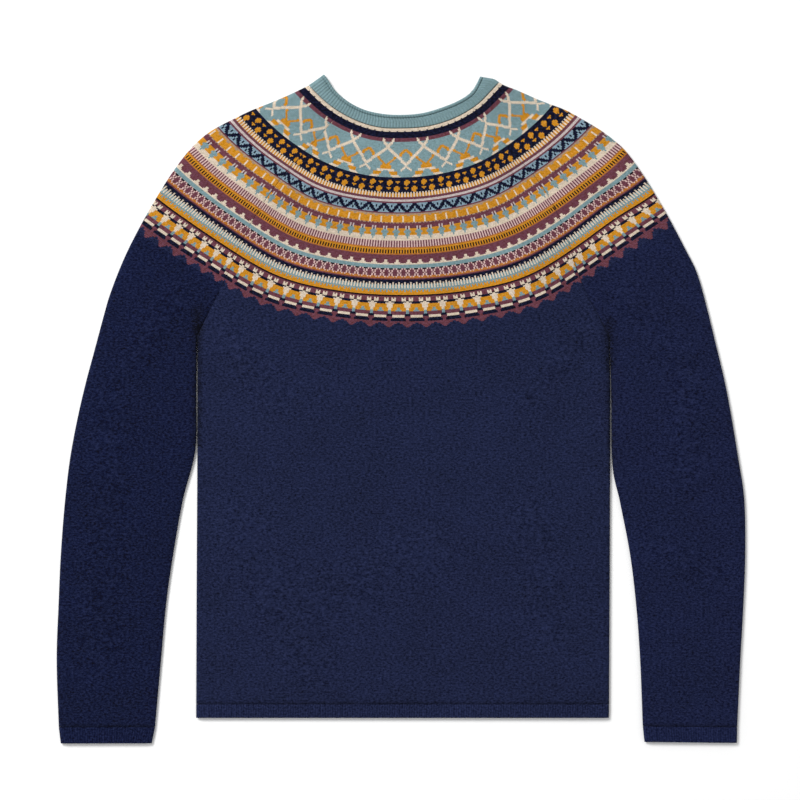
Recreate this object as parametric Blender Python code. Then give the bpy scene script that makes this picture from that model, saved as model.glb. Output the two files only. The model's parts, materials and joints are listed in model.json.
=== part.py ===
"""Fair isle sweater, laid flat with its back on the surface.

The garment is a raglan pullover: a front, a back, two sleeves, a ribbed
neckband, a ribbed hem on the front and on the back, and two ribbed cuffs.
+X runs to the viewer's right, +Y towards the neck and +Z up from the surface.
The wearer's right sleeve therefore lies at -X.

Every piece is one closed wall of cloth. The tables and sizes below are in
millimetres, and MM turns them into metres when a mesh is made.
"""

import math

import bpy
import bmesh

MM = 0.001

# Cloth laid flat: two layers that lie on each other, folded over at the sides.
WALL = 2.5
LAYER_GAP = 0.4
LAID_HEIGHT = 2.0 * WALL + LAYER_GAP
FOLD_RADIUS = LAID_HEIGHT / 2.0
FOLD_STEPS = 3
SEAM_GAP = 0.3

# Ribbing, raised in the outer points over a plain inside.
RIB_PITCH = 2.6
NECK_RIB_PITCH = 2.9
RIB_PEAK = 0.25
RIB_VALLEY = -0.4
# Rolled edge of the neckband: distance from the rim, and height over the wall.
NECK_ROLL = ((3.4, -0.35), (2.6, 0.35), (1.7, 0.6), (0.8, 0.35), (0.0, -0.4))

# Steps across the middle of each piece.
BODY_COLUMNS = 16
SLEEVE_COLUMNS = 7
HEM_COLUMNS = 8
NECK_COLUMNS = 34
# Points worked out along a row, and along the rim of the neckband.
ROW_POINTS = 60
RIM_POINTS = 90
# Rounds that settle where a curved row meets a seam or a fold.
SETTLE_ROUNDS = 20
# Faces that meet at a sharper angle than this, in degrees, keep their edge.
SHARP_EDGE = 50.0

# Colours and finish.
NAVY = (0.0145, 0.0185, 0.050)
YOKE_MIX = (0.30, 0.19, 0.11)
TEAL = (0.235, 0.370, 0.390)
CLOTH_ROUGHNESS = 0.95
NECKBAND_ROUGHNESS = 0.92

# The rows of the yoke sag round this point above the neck.
YOKE_CENTRE = (3.15, 429.45)
YOKE_ANGLES = (-52, -44, -36, -24, -12, 0, 12, 24, 36, 44, 52)

# Name of the row, its radius under the yoke centre, and how much further out
# it lies at each of YOKE_ANGLES, in degrees from straight down.
YOKE_ROWS = (
    ("neckband foot", 134.6, (-0.5, -0.7, 0.2, 1.1, 1.5, 0, 0.4, 0.4, -0.4, -2.1, -2.1)),
    ("lattice foot", 186.3, (5.9, 4.4, 3.2, 2.9, 1.6, 0, 0.3, 1.6, 1.4, 2.6, 4.4)),
    ("pale line", 210.4, (8.8, 6.1, 4.2, 4.7, 1.6, 0, 0.3, 2.6, 3.5, 5.8, 9.2)),
    ("long tick foot", 234.0, (12.5, 7.5, 4.5, 5.6, 2.1, 0, 0.8, 3.7, 3.7, 6.8, 12.6)),
    ("dark tick foot", 268.1, (14.9, 9.8, 6.6, 6.8, 2.4, 0, 1.4, 5.0, 5.9, 8.2, 14.7)),
    ("orange line", 292.4, (19.2, 11.6, 7.7, 7.7, 2.6, 0, 1.6, 6.0, 6.0, 8.4, 19.2)),
    ("dark line", 311.1, (23.3, 14.0, 9.2, 8.2, 2.6, 0, 2.4, 7.4, 6.3, 9.5, 22.1)),
    ("scallops", 338.6, (27.8, 17.3, 10.8, 9.1, 2.4, 0, 2.6, 8.4, 6.8, 12.1, 23.6)),
    ("underarm", 395.9, (75.0, 44.0, 25.0, 11.0, 3.0, 0, 3.0, 11.0, 25.0, 44.0, 75.0)),
)

# Raglan seams: radius under the yoke centre, and the seam's angle.
RIGHT_RAGLAN = ((134.0, -29.5), (173.0, -32.0), (196.0, -33.4), (241.5, -34.6),
                (292.0, -34.2), (346.5, -32.6), (413.2, -31.6))
LEFT_RAGLAN = ((134.0, 32.8), (173.0, 34.4), (196.0, 35.8), (241.5, 36.7),
               (292.0, 35.2), (346.5, 32.4), (413.2, 31.5))

# Outer fold of the shoulders: radius under the yoke centre, and its angle.
RIGHT_SHOULDER = (
    (112.0, -46.9), (134.0, -48.2), (145.0, -49.3), (169.0, -51.7), (196.0, -54.0),
    (221.0, -55.2), (243.0, -55.8), (260.0, -55.6), (275.0, -55.0), (300.0, -53.5),
    (335.0, -51.2), (369.0, -49.1), (391.0, -47.8), (412.0, -46.5), (442.0, -44.6),
)
LEFT_SHOULDER = (
    (113.0, 45.0), (116.0, 46.0), (122.0, 48.0), (127.0, 49.1), (138.0, 49.8),
    (152.0, 51.6), (178.0, 53.8), (206.0, 55.9), (228.0, 56.4), (248.0, 56.6),
    (265.0, 56.4), (281.0, 55.9), (306.0, 54.3), (341.0, 51.9), (374.0, 49.8),
    (396.0, 48.5), (418.0, 47.3), (447.0, 45.15),
)

# Centre radii of the wall's rows, from the neckband down to the underarm.
YOKE_SECTIONS = (134.9, 148.0, 162.0, 176.0, 190.0, 205.0, 220.0, 236.0, 252.0, 268.0,
                 284.0, 300.0, 316.0, 328.0, 339.7, 351.0, 363.0, 374.0, 385.0, 395.9)
# Row where the raglan edges start to close into the underarm folds.
OPEN_UNTIL = 339.7

# Body below the underarm: height, and the side folds at -X and +X.
BODY_SIDES = (
    (77.7, -213.3, 219.6),
    (20.0, -213.3, 220.5),
    (-80.0, -213.6, 220.3),
    (-200.0, -214.3, 219.8),
    (-310.0, -214.7, 219.2),
    (-324.5, -214.7, 219.0),
)
BODY_SECTIONS = (36.0, -6.0, -50.0, -100.0, -155.0, -210.0, -262.0, -309.8)
ROW_SAG_ENDS = -160.0
HEM_BOTTOM = -324.5

# Sleeve below the underarm: inner fold x, y and outer fold x, y.
RIGHT_SLEEVE = (
    (-213.9, 77.7, -305.7, 115.5),
    (-214.5, 14.7, -330.0, 30.4),
    (-215.6, -43.3, -344.7, -36.8),
    (-228.6, -95.5, -351.8, -89.2),
    (-238.9, -153.3, -356.8, -150.2),
    (-246.3, -205.8, -359.3, -204.8),
    (-251.6, -263.5, -361.3, -263.5),
    (-257.9, -333.9, -359.1, -334.0),
)
RIGHT_CUFF = ((-257.9, -334.2, -359.1, -334.3), (-261.4, -351.2, -357.0, -351.4))
LEFT_SLEEVE = (
    (219.9, 77.7, 317.9, 117.0),
    (221.4, 14.7, 340.4, 30.4),
    (222.6, -58.0, 355.4, -54.0),
    (230.9, -99.0, 361.4, -96.5),
    (241.3, -153.3, 362.4, -151.2),
    (247.8, -207.9, 360.4, -205.8),
    (251.8, -263.5, 357.2, -263.5),
    (254.6, -332.9, 353.9, -333.9),
)
LEFT_CUFF = ((254.6, -333.2, 353.9, -334.2), (256.4, -349.8, 353.6, -350.8))
# Steps of the wall between two lines of these tables, and the line below
# which the sleeve's rows are straight.
SLEEVE_STEPS = 2
ARM_BOW_ENDS = 5.0

# Rim of the neckband: angle under the yoke centre and radius of the edge.
NECK_RIM = (
    (-46.5, 114.2), (-43.0, 115.4), (-38.0, 118.5), (-30.0, 121.0), (-20.0, 122.2),
    (-10.0, 121.4), (0.0, 120.5), (10.0, 120.3), (20.0, 119.8), (30.0, 120.5),
    (36.0, 120.2), (39.0, 118.6), (42.0, 116.1), (44.5, 114.1),
)
NECKBAND_FOOT = 134.3

# Soft ridges where the upper layer lifts off the lower one: start x, y, end
# x, y, half width and height.
SOFT_RIDGES = (
    (-188.0, 84.0, -128.0, 10.0, 15.0, 1.1),
    (-236.0, 116.0, -282.0, 48.0, 14.0, 1.0),
    (196.0, 82.0, 140.0, 16.0, 14.0, 1.0),
    (240.0, 118.0, 286.0, 60.0, 13.0, 1.1),
    (-168.0, -120.0, -96.0, -268.0, 26.0, 0.9),
    (-96.0, -214.0, 20.0, -150.0, 30.0, 0.7),
    (136.0, -110.0, 160.0, -240.0, 22.0, 0.8),
    (-302.0, 10.0, -318.0, -270.0, 20.0, 0.9),
    (296.0, 50.0, 306.0, -70.0, 18.0, 0.8),
    (262.0, -140.0, 334.0, -176.0, 14.0, 0.8),
)


def smoothstep(x):
    """Ease x from 0 to 1, held flat outside."""
    x = min(max(x, 0.0), 1.0)
    return x * x * (3.0 - 2.0 * x)


def read_table(table, key, column):
    """Value of a column at a key, straight between the table's rows."""
    rows = sorted(table, key=lambda row: row[0])
    if key <= rows[0][0]:
        return rows[0][column]
    for lower, upper in zip(rows, rows[1:]):
        if key <= upper[0]:
            share = (key - lower[0]) / (upper[0] - lower[0])
            return lower[column] + (upper[column] - lower[column]) * share
    return rows[-1][column]


def curve_value(keys, values, x):
    """Smooth value at x through the points (keys, values)."""
    last = len(keys) - 1
    if x <= keys[0]:
        slope = (values[1] - values[0]) / (keys[1] - keys[0])
        return values[0] + slope * (x - keys[0])
    if x >= keys[last]:
        slope = (values[last] - values[last - 1]) / (keys[last] - keys[last - 1])
        return values[last] + slope * (x - keys[last])
    i = max(n for n in range(last) if keys[n] <= x)
    slopes = []
    for n in (i, i + 1):
        low, high = max(n - 1, 0), min(n + 1, last)
        slopes.append((values[high] - values[low]) / (keys[high] - keys[low]))
    span = keys[i + 1] - keys[i]
    t = (x - keys[i]) / span
    return (values[i] * (2 * t ** 3 - 3 * t ** 2 + 1)
            + slopes[0] * span * (t ** 3 - 2 * t ** 2 + t)
            + values[i + 1] * (3 * t ** 2 - 2 * t ** 3)
            + slopes[1] * span * (t ** 3 - t ** 2))


def row_radius(centre, angle):
    """Radius at an angle of the yoke row whose centre radius is given."""
    rows = YOKE_ROWS
    lower, upper = rows[0], rows[1]
    for lower, upper in zip(rows, rows[1:]):
        if centre <= upper[1]:
            break
    share = (centre - lower[1]) / (upper[1] - lower[1])
    sag_low = curve_value(YOKE_ANGLES, lower[2], angle)
    sag_high = curve_value(YOKE_ANGLES, upper[2], angle)
    return centre + sag_low + (sag_high - sag_low) * share


def yoke_point(radius, angle):
    """Place under the yoke centre at a radius and an angle in degrees."""
    turn = math.radians(angle)
    return (YOKE_CENTRE[0] + radius * math.sin(turn),
            YOKE_CENTRE[1] - radius * math.cos(turn))


def row_end(centre, line):
    """Angle at which a yoke row meets a seam or fold given by radius."""
    radii, angles = [place[0] for place in line], [place[1] for place in line]
    angle = angles[0]
    for _ in range(SETTLE_ROUNDS):
        angle = curve_value(radii, angles, row_radius(centre, angle))
    return angle


def yoke_row(centre, start, end):
    """Points along a yoke row between two angles."""
    row = []
    for i in range(ROW_POINTS + 1):
        angle = start + (end - start) * i / ROW_POINTS
        row.append(yoke_point(row_radius(centre, angle), angle))
    return row


def along(row, distance):
    """Point of a row at a distance from its start, and past its ends."""
    travelled = 0.0
    for i in range(len(row) - 1):
        (ax, ay), (bx, by) = row[i], row[i + 1]
        step = math.hypot(bx - ax, by - ay)
        if distance <= travelled + step or i == len(row) - 2:
            share = (distance - travelled) / step
            return (ax + (bx - ax) * share, ay + (by - ay) * share)
        travelled += step
    return row[-1]


def row_length(row):
    """Length of a row."""
    return sum(math.dist(a, b) for a, b in zip(row, row[1:]))


def ridge_height(x, y):
    """Height of the soft ridges at a place of the upper layer."""
    height = 0.0
    for ax, ay, bx, by, half_width, peak in SOFT_RIDGES:
        length_squared = (bx - ax) ** 2 + (by - ay) ** 2
        share = ((x - ax) * (bx - ax) + (y - ay) * (by - ay)) / length_squared
        share = min(max(share, 0.0), 1.0)
        gap = math.hypot(x - ax - (bx - ax) * share, y - ay - (by - ay) * share)
        height += peak * math.exp(-(gap / half_width) ** 2)
    return height


def fold_zone(open_share):
    """Rows of (outer distance, outer z, inner distance, inner z) at one side.

    A closed fold (open_share 0) turns down a quarter circle to mid height. An
    open edge (open_share 1) stays level, as where a panel is sewn on.
    """
    zone = []
    for k in range(FOLD_STEPS + 1):
        turn = math.pi / 2 * k / FOLD_STEPS
        inner_radius = FOLD_RADIUS - WALL
        closed = (FOLD_RADIUS * (1 - math.cos(turn)),
                  FOLD_RADIUS * (1 + math.sin(turn)),
                  FOLD_RADIUS - inner_radius * math.cos(turn),
                  FOLD_RADIUS + inner_radius * math.sin(turn))
        level = FOLD_RADIUS * k / FOLD_STEPS
        flat = (level, LAID_HEIGHT, level, LAID_HEIGHT - WALL)
        zone.append(tuple(c + (f - c) * open_share for c, f in zip(closed, flat)))
    return zone


def layer_section(row, start_open, end_open, middle, upper=True, part=0.0):
    """Outer and inner points of one layer of cloth over a row.

    The upper layer has the soft ridges, and the lower one mirrors it on the
    surface without them. part keeps a closed side fold short of mid height.
    """
    length = row_length(row)
    places = fold_zone(start_open)
    for i in range(1, middle):
        distance = FOLD_RADIUS + (length - 2 * FOLD_RADIUS) * i / middle
        places.append((distance, LAID_HEIGHT, distance, LAID_HEIGHT - WALL))
    for out_s, out_z, in_s, in_z in reversed(fold_zone(end_open)):
        places.append((length - out_s, out_z, length - in_s, in_z))
    outer, inner = [], []
    for out_s, out_z, in_s, in_z in places:
        x, y = along(row, out_s)
        inner_x, inner_y = along(row, in_s)
        lift = ridge_height(x, y) * (out_z - FOLD_RADIUS) / FOLD_RADIUS if upper else 0.0
        out_z = max(out_z + lift, FOLD_RADIUS + part)
        in_z = max(in_z + lift, FOLD_RADIUS + part)
        if not upper:
            out_z, in_z = LAID_HEIGHT - out_z, LAID_HEIGHT - in_z
        outer.append((x, y, out_z))
        inner.append((inner_x, inner_y, in_z))
    return outer, inner


def tube_section(row, inner_open, middle):
    """Outer and inner points all round a sleeve over one row.

    The row runs from the raglan seam, or the inner fold, to the outer fold.
    The points go over the top, round the outer fold and back underneath.
    """
    top_outer, top_inner = layer_section(row, inner_open, 0.0, middle)
    low_outer, low_inner = layer_section(row, inner_open, 0.0, middle, upper=False)
    outer = top_outer + low_outer[-2::-1]
    inner = top_inner + low_inner[-2::-1]
    return outer, inner


def resample(points, pitch, steps=None):
    """Points an even half pitch apart along a chain, an even number of steps."""
    if steps is None:
        steps = 2 * round(row_length(points) / pitch)
    marks = chain_marks(points, looped=False)
    chain = []
    i = 0
    for n in range(steps + 1):
        mark = n / steps
        while i < len(points) - 2 and marks[i + 1] < mark:
            i += 1
        share = (mark - marks[i]) / (marks[i + 1] - marks[i])
        a, b = points[i], points[i + 1]
        chain.append(tuple(p + (q - p) * share for p, q in zip(a, b)))
    return chain


def chain_marks(points, looped):
    """Share of the chain's length that lies before each of its points."""
    ring = list(points) + ([points[0]] if looped else [])
    marks = [0.0]
    for a, b in zip(ring, ring[1:]):
        marks.append(marks[-1] + math.dist(a, b))
    return [mark / marks[-1] for mark in marks]


def raise_ribs(chain, lower_chain, count):
    """Move the first count points of a chain out and in by turns, as ribs."""
    ribbed = []
    for i, point in enumerate(chain):
        if not 0 < i < count:
            ribbed.append(point)
            continue
        before, after = chain[i - 1], chain[i + 1] if i + 1 < len(chain) else chain[i]
        tangent = [b - a for a, b in zip(before, after)]
        down = [b - a for a, b in zip(point, lower_chain[i])]
        normal = (tangent[1] * down[2] - tangent[2] * down[1],
                  tangent[2] * down[0] - tangent[0] * down[2],
                  tangent[0] * down[1] - tangent[1] * down[0])
        size = math.hypot(*normal)
        if point[2] > FOLD_RADIUS and normal[2] < 0:
            size = -size
        level = smoothstep((point[2] - FOLD_RADIUS) / (0.5 * FOLD_RADIUS))
        relief = level * (RIB_PEAK if i % 2 == 0 else RIB_VALLEY)
        ribbed.append(tuple(p + n / size * relief for p, n in zip(point, normal)))
    return ribbed


class Wall:
    """Points and faces of one closed wall of cloth."""

    def __init__(self):
        self.points = []
        self.faces = []

    def add_chain(self, chain):
        """Add a chain of points and return their numbers."""
        first = len(self.points)
        self.points.extend(chain)
        return list(range(first, len(self.points)))

    def add_face(self, *corners):
        """Add a face, dropping corners that fall together."""
        kept = [c for n, c in enumerate(corners) if c != corners[n - 1]]
        if len(kept) > 2:
            self.faces.append(kept)

    def add_band(self, first, second):
        """Join two chains with the same number of points."""
        for i in range(len(first) - 1):
            self.add_face(first[i], first[i + 1], second[i + 1], second[i])

    def zip_chains(self, first, second, looped):
        """Join two chains whose numbers of points differ."""
        marks_a = chain_marks([self.points[i] for i in first], looped)
        marks_b = chain_marks([self.points[i] for i in second], looped)
        ring_a = first + first[:1] if looped else first
        ring_b = second + second[:1] if looped else second
        i = j = 0
        while i < len(ring_a) - 1 or j < len(ring_b) - 1:
            next_a = marks_a[i + 1] if i < len(ring_a) - 1 else 2.0
            next_b = marks_b[j + 1] if j < len(ring_b) - 1 else 2.0
            if next_a <= next_b:
                self.add_face(ring_a[i], ring_a[i + 1], ring_b[j])
                i += 1
            else:
                self.add_face(ring_a[i], ring_b[j + 1], ring_b[j])
                j += 1

    def make_object(self, name, colour, roughness):
        """Turn the wall into an object with its own material."""
        mesh = bpy.data.meshes.new(name)
        points = [(x * MM, y * MM, z * MM) for x, y, z in self.points]
        mesh.from_pydata(points, [], self.faces)
        shape = bmesh.new()
        shape.from_mesh(mesh)
        bmesh.ops.recalc_face_normals(shape, faces=shape.faces)
        shape.to_mesh(mesh)
        shape.free()
        mesh.shade_smooth()
        mesh.set_sharp_from_angle(angle=math.radians(SHARP_EDGE))
        piece = bpy.data.objects.new(name, mesh)
        bpy.context.collection.objects.link(piece)
        material = bpy.data.materials.new(name + "_cloth")
        material.use_nodes = True
        shader = material.node_tree.nodes["Principled BSDF"]
        shader.inputs["Base Color"].default_value = (*colour, 1.0)
        shader.inputs["Roughness"].default_value = roughness
        shader.inputs["Metallic"].default_value = 0.0
        mesh.materials.append(material)
        return piece


def build_wall(sections, closed):
    """Wall over sections of outer and inner points.

    closed says of each section whether its last point falls on its first.
    """
    wall = Wall()
    outer_rows, inner_rows = [], []
    for (outer, inner), is_closed in zip(sections, closed):
        if is_closed:
            outer, inner = outer[:-1], inner[:-1]
        outer_row, inner_row = wall.add_chain(outer), wall.add_chain(inner)
        if is_closed:
            outer_row.append(outer_row[0])
            inner_row.append(inner_row[0])
        outer_rows.append(outer_row)
        inner_rows.append(inner_row)
    for n in range(len(sections) - 1):
        wall.add_band(outer_rows[n], outer_rows[n + 1])
        wall.add_band(inner_rows[n + 1], inner_rows[n])
        if not (closed[n] and closed[n + 1]):
            for side in (0, -1):
                wall.add_face(outer_rows[n][side], outer_rows[n + 1][side],
                              inner_rows[n + 1][side], inner_rows[n][side])
    for n in (0, -1):
        wall.add_band(outer_rows[n], inner_rows[n])
    return wall


def build_ribbed_wall(outer_chains, inner_chains, looped):
    """Wall with fine outer chains over coarser inner chains."""
    wall = Wall()
    outer = [wall.add_chain(chain) for chain in outer_chains]
    inner = [wall.add_chain(chain) for chain in inner_chains]
    for rows in (outer, inner):
        for first, second in zip(rows, rows[1:]):
            wall.zip_chains(first, second, looped)
    wall.zip_chains(outer[0], inner[0], looped)
    wall.zip_chains(outer[-1], inner[-1], looped)
    if not looped:
        for side in (0, -1):
            rim = [row[side] for row in outer] + [row[side] for row in reversed(inner)]
            wall.add_face(*rim)
    return wall


def raglan_open_share(centre):
    """How far the raglan edges of a yoke row are open, from 1 down to 0."""
    last = YOKE_SECTIONS[-1]
    return 1.0 - smoothstep((centre - OPEN_UNTIL) / (last - OPEN_UNTIL))


def trim(row, start, end):
    """The row without a short distance at its start and end."""
    length = row_length(row)
    points = len(row) - 1
    span = length - start - end
    return [along(row, start + span * i / points) for i in range(points + 1)]


def body_rows():
    """Rows of the front and back from the neckband to the hem, each with how
    far its side edges are open."""
    rows = []
    for centre in YOKE_SECTIONS:
        start = row_end(centre, RIGHT_RAGLAN)
        end = row_end(centre, LEFT_RAGLAN)
        row = trim(yoke_row(centre, start, end), SEAM_GAP / 2, SEAM_GAP / 2)
        rows.append((row, raglan_open_share(centre)))
    underarm = rows[-1][0]
    top = BODY_SIDES[0][0]
    for height in BODY_SECTIONS:
        left, right = read_table(BODY_SIDES, height, 1), read_table(BODY_SIDES, height, 2)
        sag = smoothstep((height - ROW_SAG_ENDS) / (top - ROW_SAG_ENDS))
        row = []
        for i, (_, y) in enumerate(underarm):
            x = left + (right - left) * i / (len(underarm) - 1)
            row.append((x, height + (y - top) * sag))
        rows.append((row, 0.0))
    return rows


def build_panel(name, upper, colour):
    """Front or back, from the neckband down to the hem."""
    sections = [layer_section(row, share, share, BODY_COLUMNS, upper, SEAM_GAP / 2)
                for row, share in body_rows()]
    wall = build_wall(sections, [False] * len(sections))
    return wall.make_object(name, colour, CLOTH_ROUGHNESS)


def hem_row(height):
    """Straight row across the body at a height."""
    left, right = read_table(BODY_SIDES, height, 1), read_table(BODY_SIDES, height, 2)
    return [(left, height), ((left + right) / 2, height), (right, height)]


def build_hem(name, upper, colour):
    """Ribbed hem of the front, or the plain one that lies on the surface."""
    heights = (BODY_SECTIONS[-1] - SEAM_GAP, HEM_BOTTOM)
    sections = [layer_section(hem_row(height), 0.0, 0.0, HEM_COLUMNS, upper, SEAM_GAP / 2)
                for height in heights]
    outer, inner = [section[0] for section in sections], [section[1] for section in sections]
    if upper:
        outer = ribbed_pair(outer, RIB_PITCH)
    wall = build_ribbed_wall(outer, inner, looped=False)
    return wall.make_object(name, colour, CLOTH_ROUGHNESS)


def ribbed_pair(chains, pitch):
    """Ribs along two chains, whose points are spaced alike."""
    fine = [resample(chains[0], pitch)]
    fine.append(resample(chains[1], pitch, len(fine[0]) - 1))
    count = len(fine[0]) - 1
    first = raise_ribs(fine[0], fine[1], count)
    moves = [tuple(b - a for a, b in zip(plain, ribbed))
             for plain, ribbed in zip(fine[0], first)]
    second = [tuple(p + m for p, m in zip(point, move))
              for point, move in zip(fine[1], moves)]
    return [first, second]


def arm_rows(raglan, shoulder, table):
    """Rows of a sleeve from the neckband to the cuff, each with how far its
    raglan edges are open."""
    rows = []
    for centre in YOKE_SECTIONS:
        seam = row_end(centre, raglan)
        fold = row_end(centre, shoulder)
        row = trim(yoke_row(centre, seam, fold), SEAM_GAP / 2, 0.0)
        rows.append((row, raglan_open_share(centre)))
    underarm = rows[-1][0]
    chord = [(underarm[-1][k] - underarm[0][k]) for k in (0, 1)]
    steps = (len(table) - 1) * SLEEVE_STEPS
    keys = list(range(len(table)))
    for n in range(1, steps + 1):
        place = n / SLEEVE_STEPS
        inner_x, inner_y, outer_x, outer_y = (
            curve_value(keys, [line[column] for line in table], place) for column in range(4))
        bow = smoothstep(1.0 - place / ARM_BOW_ENDS)
        row = []
        for i, (x, y) in enumerate(underarm):
            share = i / (len(underarm) - 1)
            bow_x = (x - underarm[0][0] - chord[0] * share) * bow
            bow_y = (y - underarm[0][1] - chord[1] * share) * bow
            row.append((inner_x + (outer_x - inner_x) * share + bow_x,
                        inner_y + (outer_y - inner_y) * share + bow_y))
        rows.append((row, 0.0))
    return rows


def build_sleeve(name, raglan, shoulder, table, colour):
    """Sleeve: a flattened tube, open along the raglan seams above the underarm."""
    rows = arm_rows(raglan, shoulder, table)
    sections = [tube_section(row, share, SLEEVE_COLUMNS) for row, share in rows]
    wall = build_wall(sections, [share == 0.0 for _, share in rows])
    return wall.make_object(name, colour, CLOTH_ROUGHNESS)


def build_cuff(name, table, colour):
    """Ribbed cuff: a flattened tube with ribs on its upper side."""
    tops, lows, inner = [], [], []
    for inner_x, inner_y, outer_x, outer_y in table:
        row = [(inner_x, inner_y), ((inner_x + outer_x) / 2, (inner_y + outer_y) / 2),
               (outer_x, outer_y)]
        top_outer, top_inner = layer_section(row, 0.0, 0.0, SLEEVE_COLUMNS)
        low_outer, low_inner = layer_section(row, 0.0, 0.0, SLEEVE_COLUMNS, upper=False)
        tops.append(top_outer)
        lows.append(low_outer[-2:0:-1])
        inner.append(top_inner + low_inner[-2:0:-1])
    outer = [top + low for top, low in zip(ribbed_pair(tops, RIB_PITCH), lows)]
    wall = build_ribbed_wall(outer, inner, looped=True)
    return wall.make_object(name, colour, CLOTH_ROUGHNESS)


def neckband_row(share, inset=0.0):
    """Row of the neckband, from 0 at its foot to 1 at its rim.

    inset moves the row that far from the rim, towards the foot.
    """
    rim_angles = [angle for angle, _ in NECK_RIM]
    rim_radii = [radius for _, radius in NECK_RIM]
    ends = []
    for shoulder in (RIGHT_SHOULDER, LEFT_SHOULDER):
        radii, angles = [place[0] for place in shoulder], [place[1] for place in shoulder]
        angle = angles[1]
        for _ in range(SETTLE_ROUNDS):
            foot = row_radius(NECKBAND_FOOT, angle)
            rim = curve_value(rim_angles, rim_radii, angle)
            angle = curve_value(radii, angles, foot + (rim - foot) * share + inset)
        ends.append(angle)
    row = []
    for i in range(RIM_POINTS + 1):
        angle = ends[0] + (ends[1] - ends[0]) * i / RIM_POINTS
        foot = row_radius(NECKBAND_FOOT, angle)
        rim = curve_value(rim_angles, rim_radii, angle)
        row.append(yoke_point(foot + (rim - foot) * share + inset, angle))
    return row


def ring_section(row, height_change=0.0):
    """Outer top, outer underside and whole inner loop of a flattened ring."""
    top_outer, top_inner = layer_section(row, 0.0, 0.0, NECK_COLUMNS)
    low_outer, low_inner = layer_section(row, 0.0, 0.0, NECK_COLUMNS, upper=False)
    raised = []
    for x, y, z in top_outer:
        raised.append((x, y, z + height_change * smoothstep((z - FOLD_RADIUS) / FOLD_RADIUS)))
    return raised, low_outer[-2:0:-1], top_inner + low_inner[-2:0:-1]


def build_neckband(name, colour):
    """Ribbed neckband with a rolled edge: a flattened ring that bends round
    the neck opening."""
    foot, roll_start = neckband_row(0.0), neckband_row(1.0, NECK_ROLL[0][0])
    foot_top, foot_low, foot_inner = ring_section(foot)
    rib_top, rib_low, _ = ring_section(roll_start)
    ribbed = ribbed_pair([foot_top, rib_top], NECK_RIB_PITCH)
    outer = [ribbed[0] + foot_low, ribbed[1] + rib_low]
    rim_inner = foot_inner
    for inset, height in NECK_ROLL[1:]:
        top, low, rim_inner = ring_section(neckband_row(1.0, inset), height)
        outer.append(top + low)
    wall = build_ribbed_wall(outer, [foot_inner, rim_inner], looped=True)
    return wall.make_object(name, colour, NECKBAND_ROUGHNESS)


def clear_scene():
    """Remove every object of the scene."""
    for piece in list(bpy.data.objects):
        bpy.data.objects.remove(piece, do_unlink=True)


def main():
    """Build every piece of the sweater."""
    clear_scene()
    build_panel("front", True, YOKE_MIX)
    build_panel("back", False, NAVY)
    build_sleeve("sleeve_right", RIGHT_RAGLAN, RIGHT_SHOULDER, RIGHT_SLEEVE, NAVY)
    build_sleeve("sleeve_left", LEFT_RAGLAN, LEFT_SHOULDER, LEFT_SLEEVE, NAVY)
    build_hem("hem_front", True, NAVY)
    build_hem("hem_back", False, NAVY)
    build_cuff("cuff_right", RIGHT_CUFF, NAVY)
    build_cuff("cuff_left", LEFT_CUFF, NAVY)
    build_neckband("neckband", TEAL)


main()
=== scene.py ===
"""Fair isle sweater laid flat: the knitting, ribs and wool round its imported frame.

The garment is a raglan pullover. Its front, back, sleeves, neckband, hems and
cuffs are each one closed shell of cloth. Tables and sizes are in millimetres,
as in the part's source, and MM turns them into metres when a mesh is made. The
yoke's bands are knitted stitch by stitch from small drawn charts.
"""

import json
import logging
import math
from dataclasses import dataclass, field
from enum import Enum

import bmesh
import bpy
import numpy as np
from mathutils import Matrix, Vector
from numpy.typing import ArrayLike

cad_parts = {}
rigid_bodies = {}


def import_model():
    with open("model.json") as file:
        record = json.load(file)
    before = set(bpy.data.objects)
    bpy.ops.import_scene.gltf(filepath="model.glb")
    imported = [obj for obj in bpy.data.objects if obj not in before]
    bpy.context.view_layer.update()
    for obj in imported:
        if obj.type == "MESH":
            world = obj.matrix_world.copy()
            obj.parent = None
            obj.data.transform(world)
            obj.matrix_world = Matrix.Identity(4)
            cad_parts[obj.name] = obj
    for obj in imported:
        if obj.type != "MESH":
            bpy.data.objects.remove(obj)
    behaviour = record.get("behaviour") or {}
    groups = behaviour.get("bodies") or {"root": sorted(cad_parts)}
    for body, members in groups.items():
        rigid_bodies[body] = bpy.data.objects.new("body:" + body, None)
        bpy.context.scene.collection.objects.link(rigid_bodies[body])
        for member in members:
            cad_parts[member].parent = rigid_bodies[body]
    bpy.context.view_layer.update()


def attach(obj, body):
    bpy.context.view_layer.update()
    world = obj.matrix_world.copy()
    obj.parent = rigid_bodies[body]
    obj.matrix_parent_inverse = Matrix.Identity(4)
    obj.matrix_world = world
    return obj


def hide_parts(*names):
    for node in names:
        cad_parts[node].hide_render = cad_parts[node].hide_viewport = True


logging.basicConfig(level=logging.INFO, format="%(message)s")
log = logging.getLogger("sweater")

MM = 0.001
BODY = "root"

# Cloth laid flat: two layers that lie on each other, folded over at the sides.
WALL = 2.5
LAYER_GAP = 0.4
LAID_HEIGHT = 2.0 * WALL + LAYER_GAP
FOLD_RADIUS = LAID_HEIGHT / 2.0
INNER_FOLD = FOLD_RADIUS - LAYER_GAP / 2.0
FOLD_REACH = 6.0
SEAM_GAP = 0.3
SHOWN_SEAM_GAP = 0.06
SEAM_DIP = 0.4
SEAM_DIP_WIDTH = 1.1
# Brightness of the studio's light on a white surface.
LIGHT_LEVEL = 1.2

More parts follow.
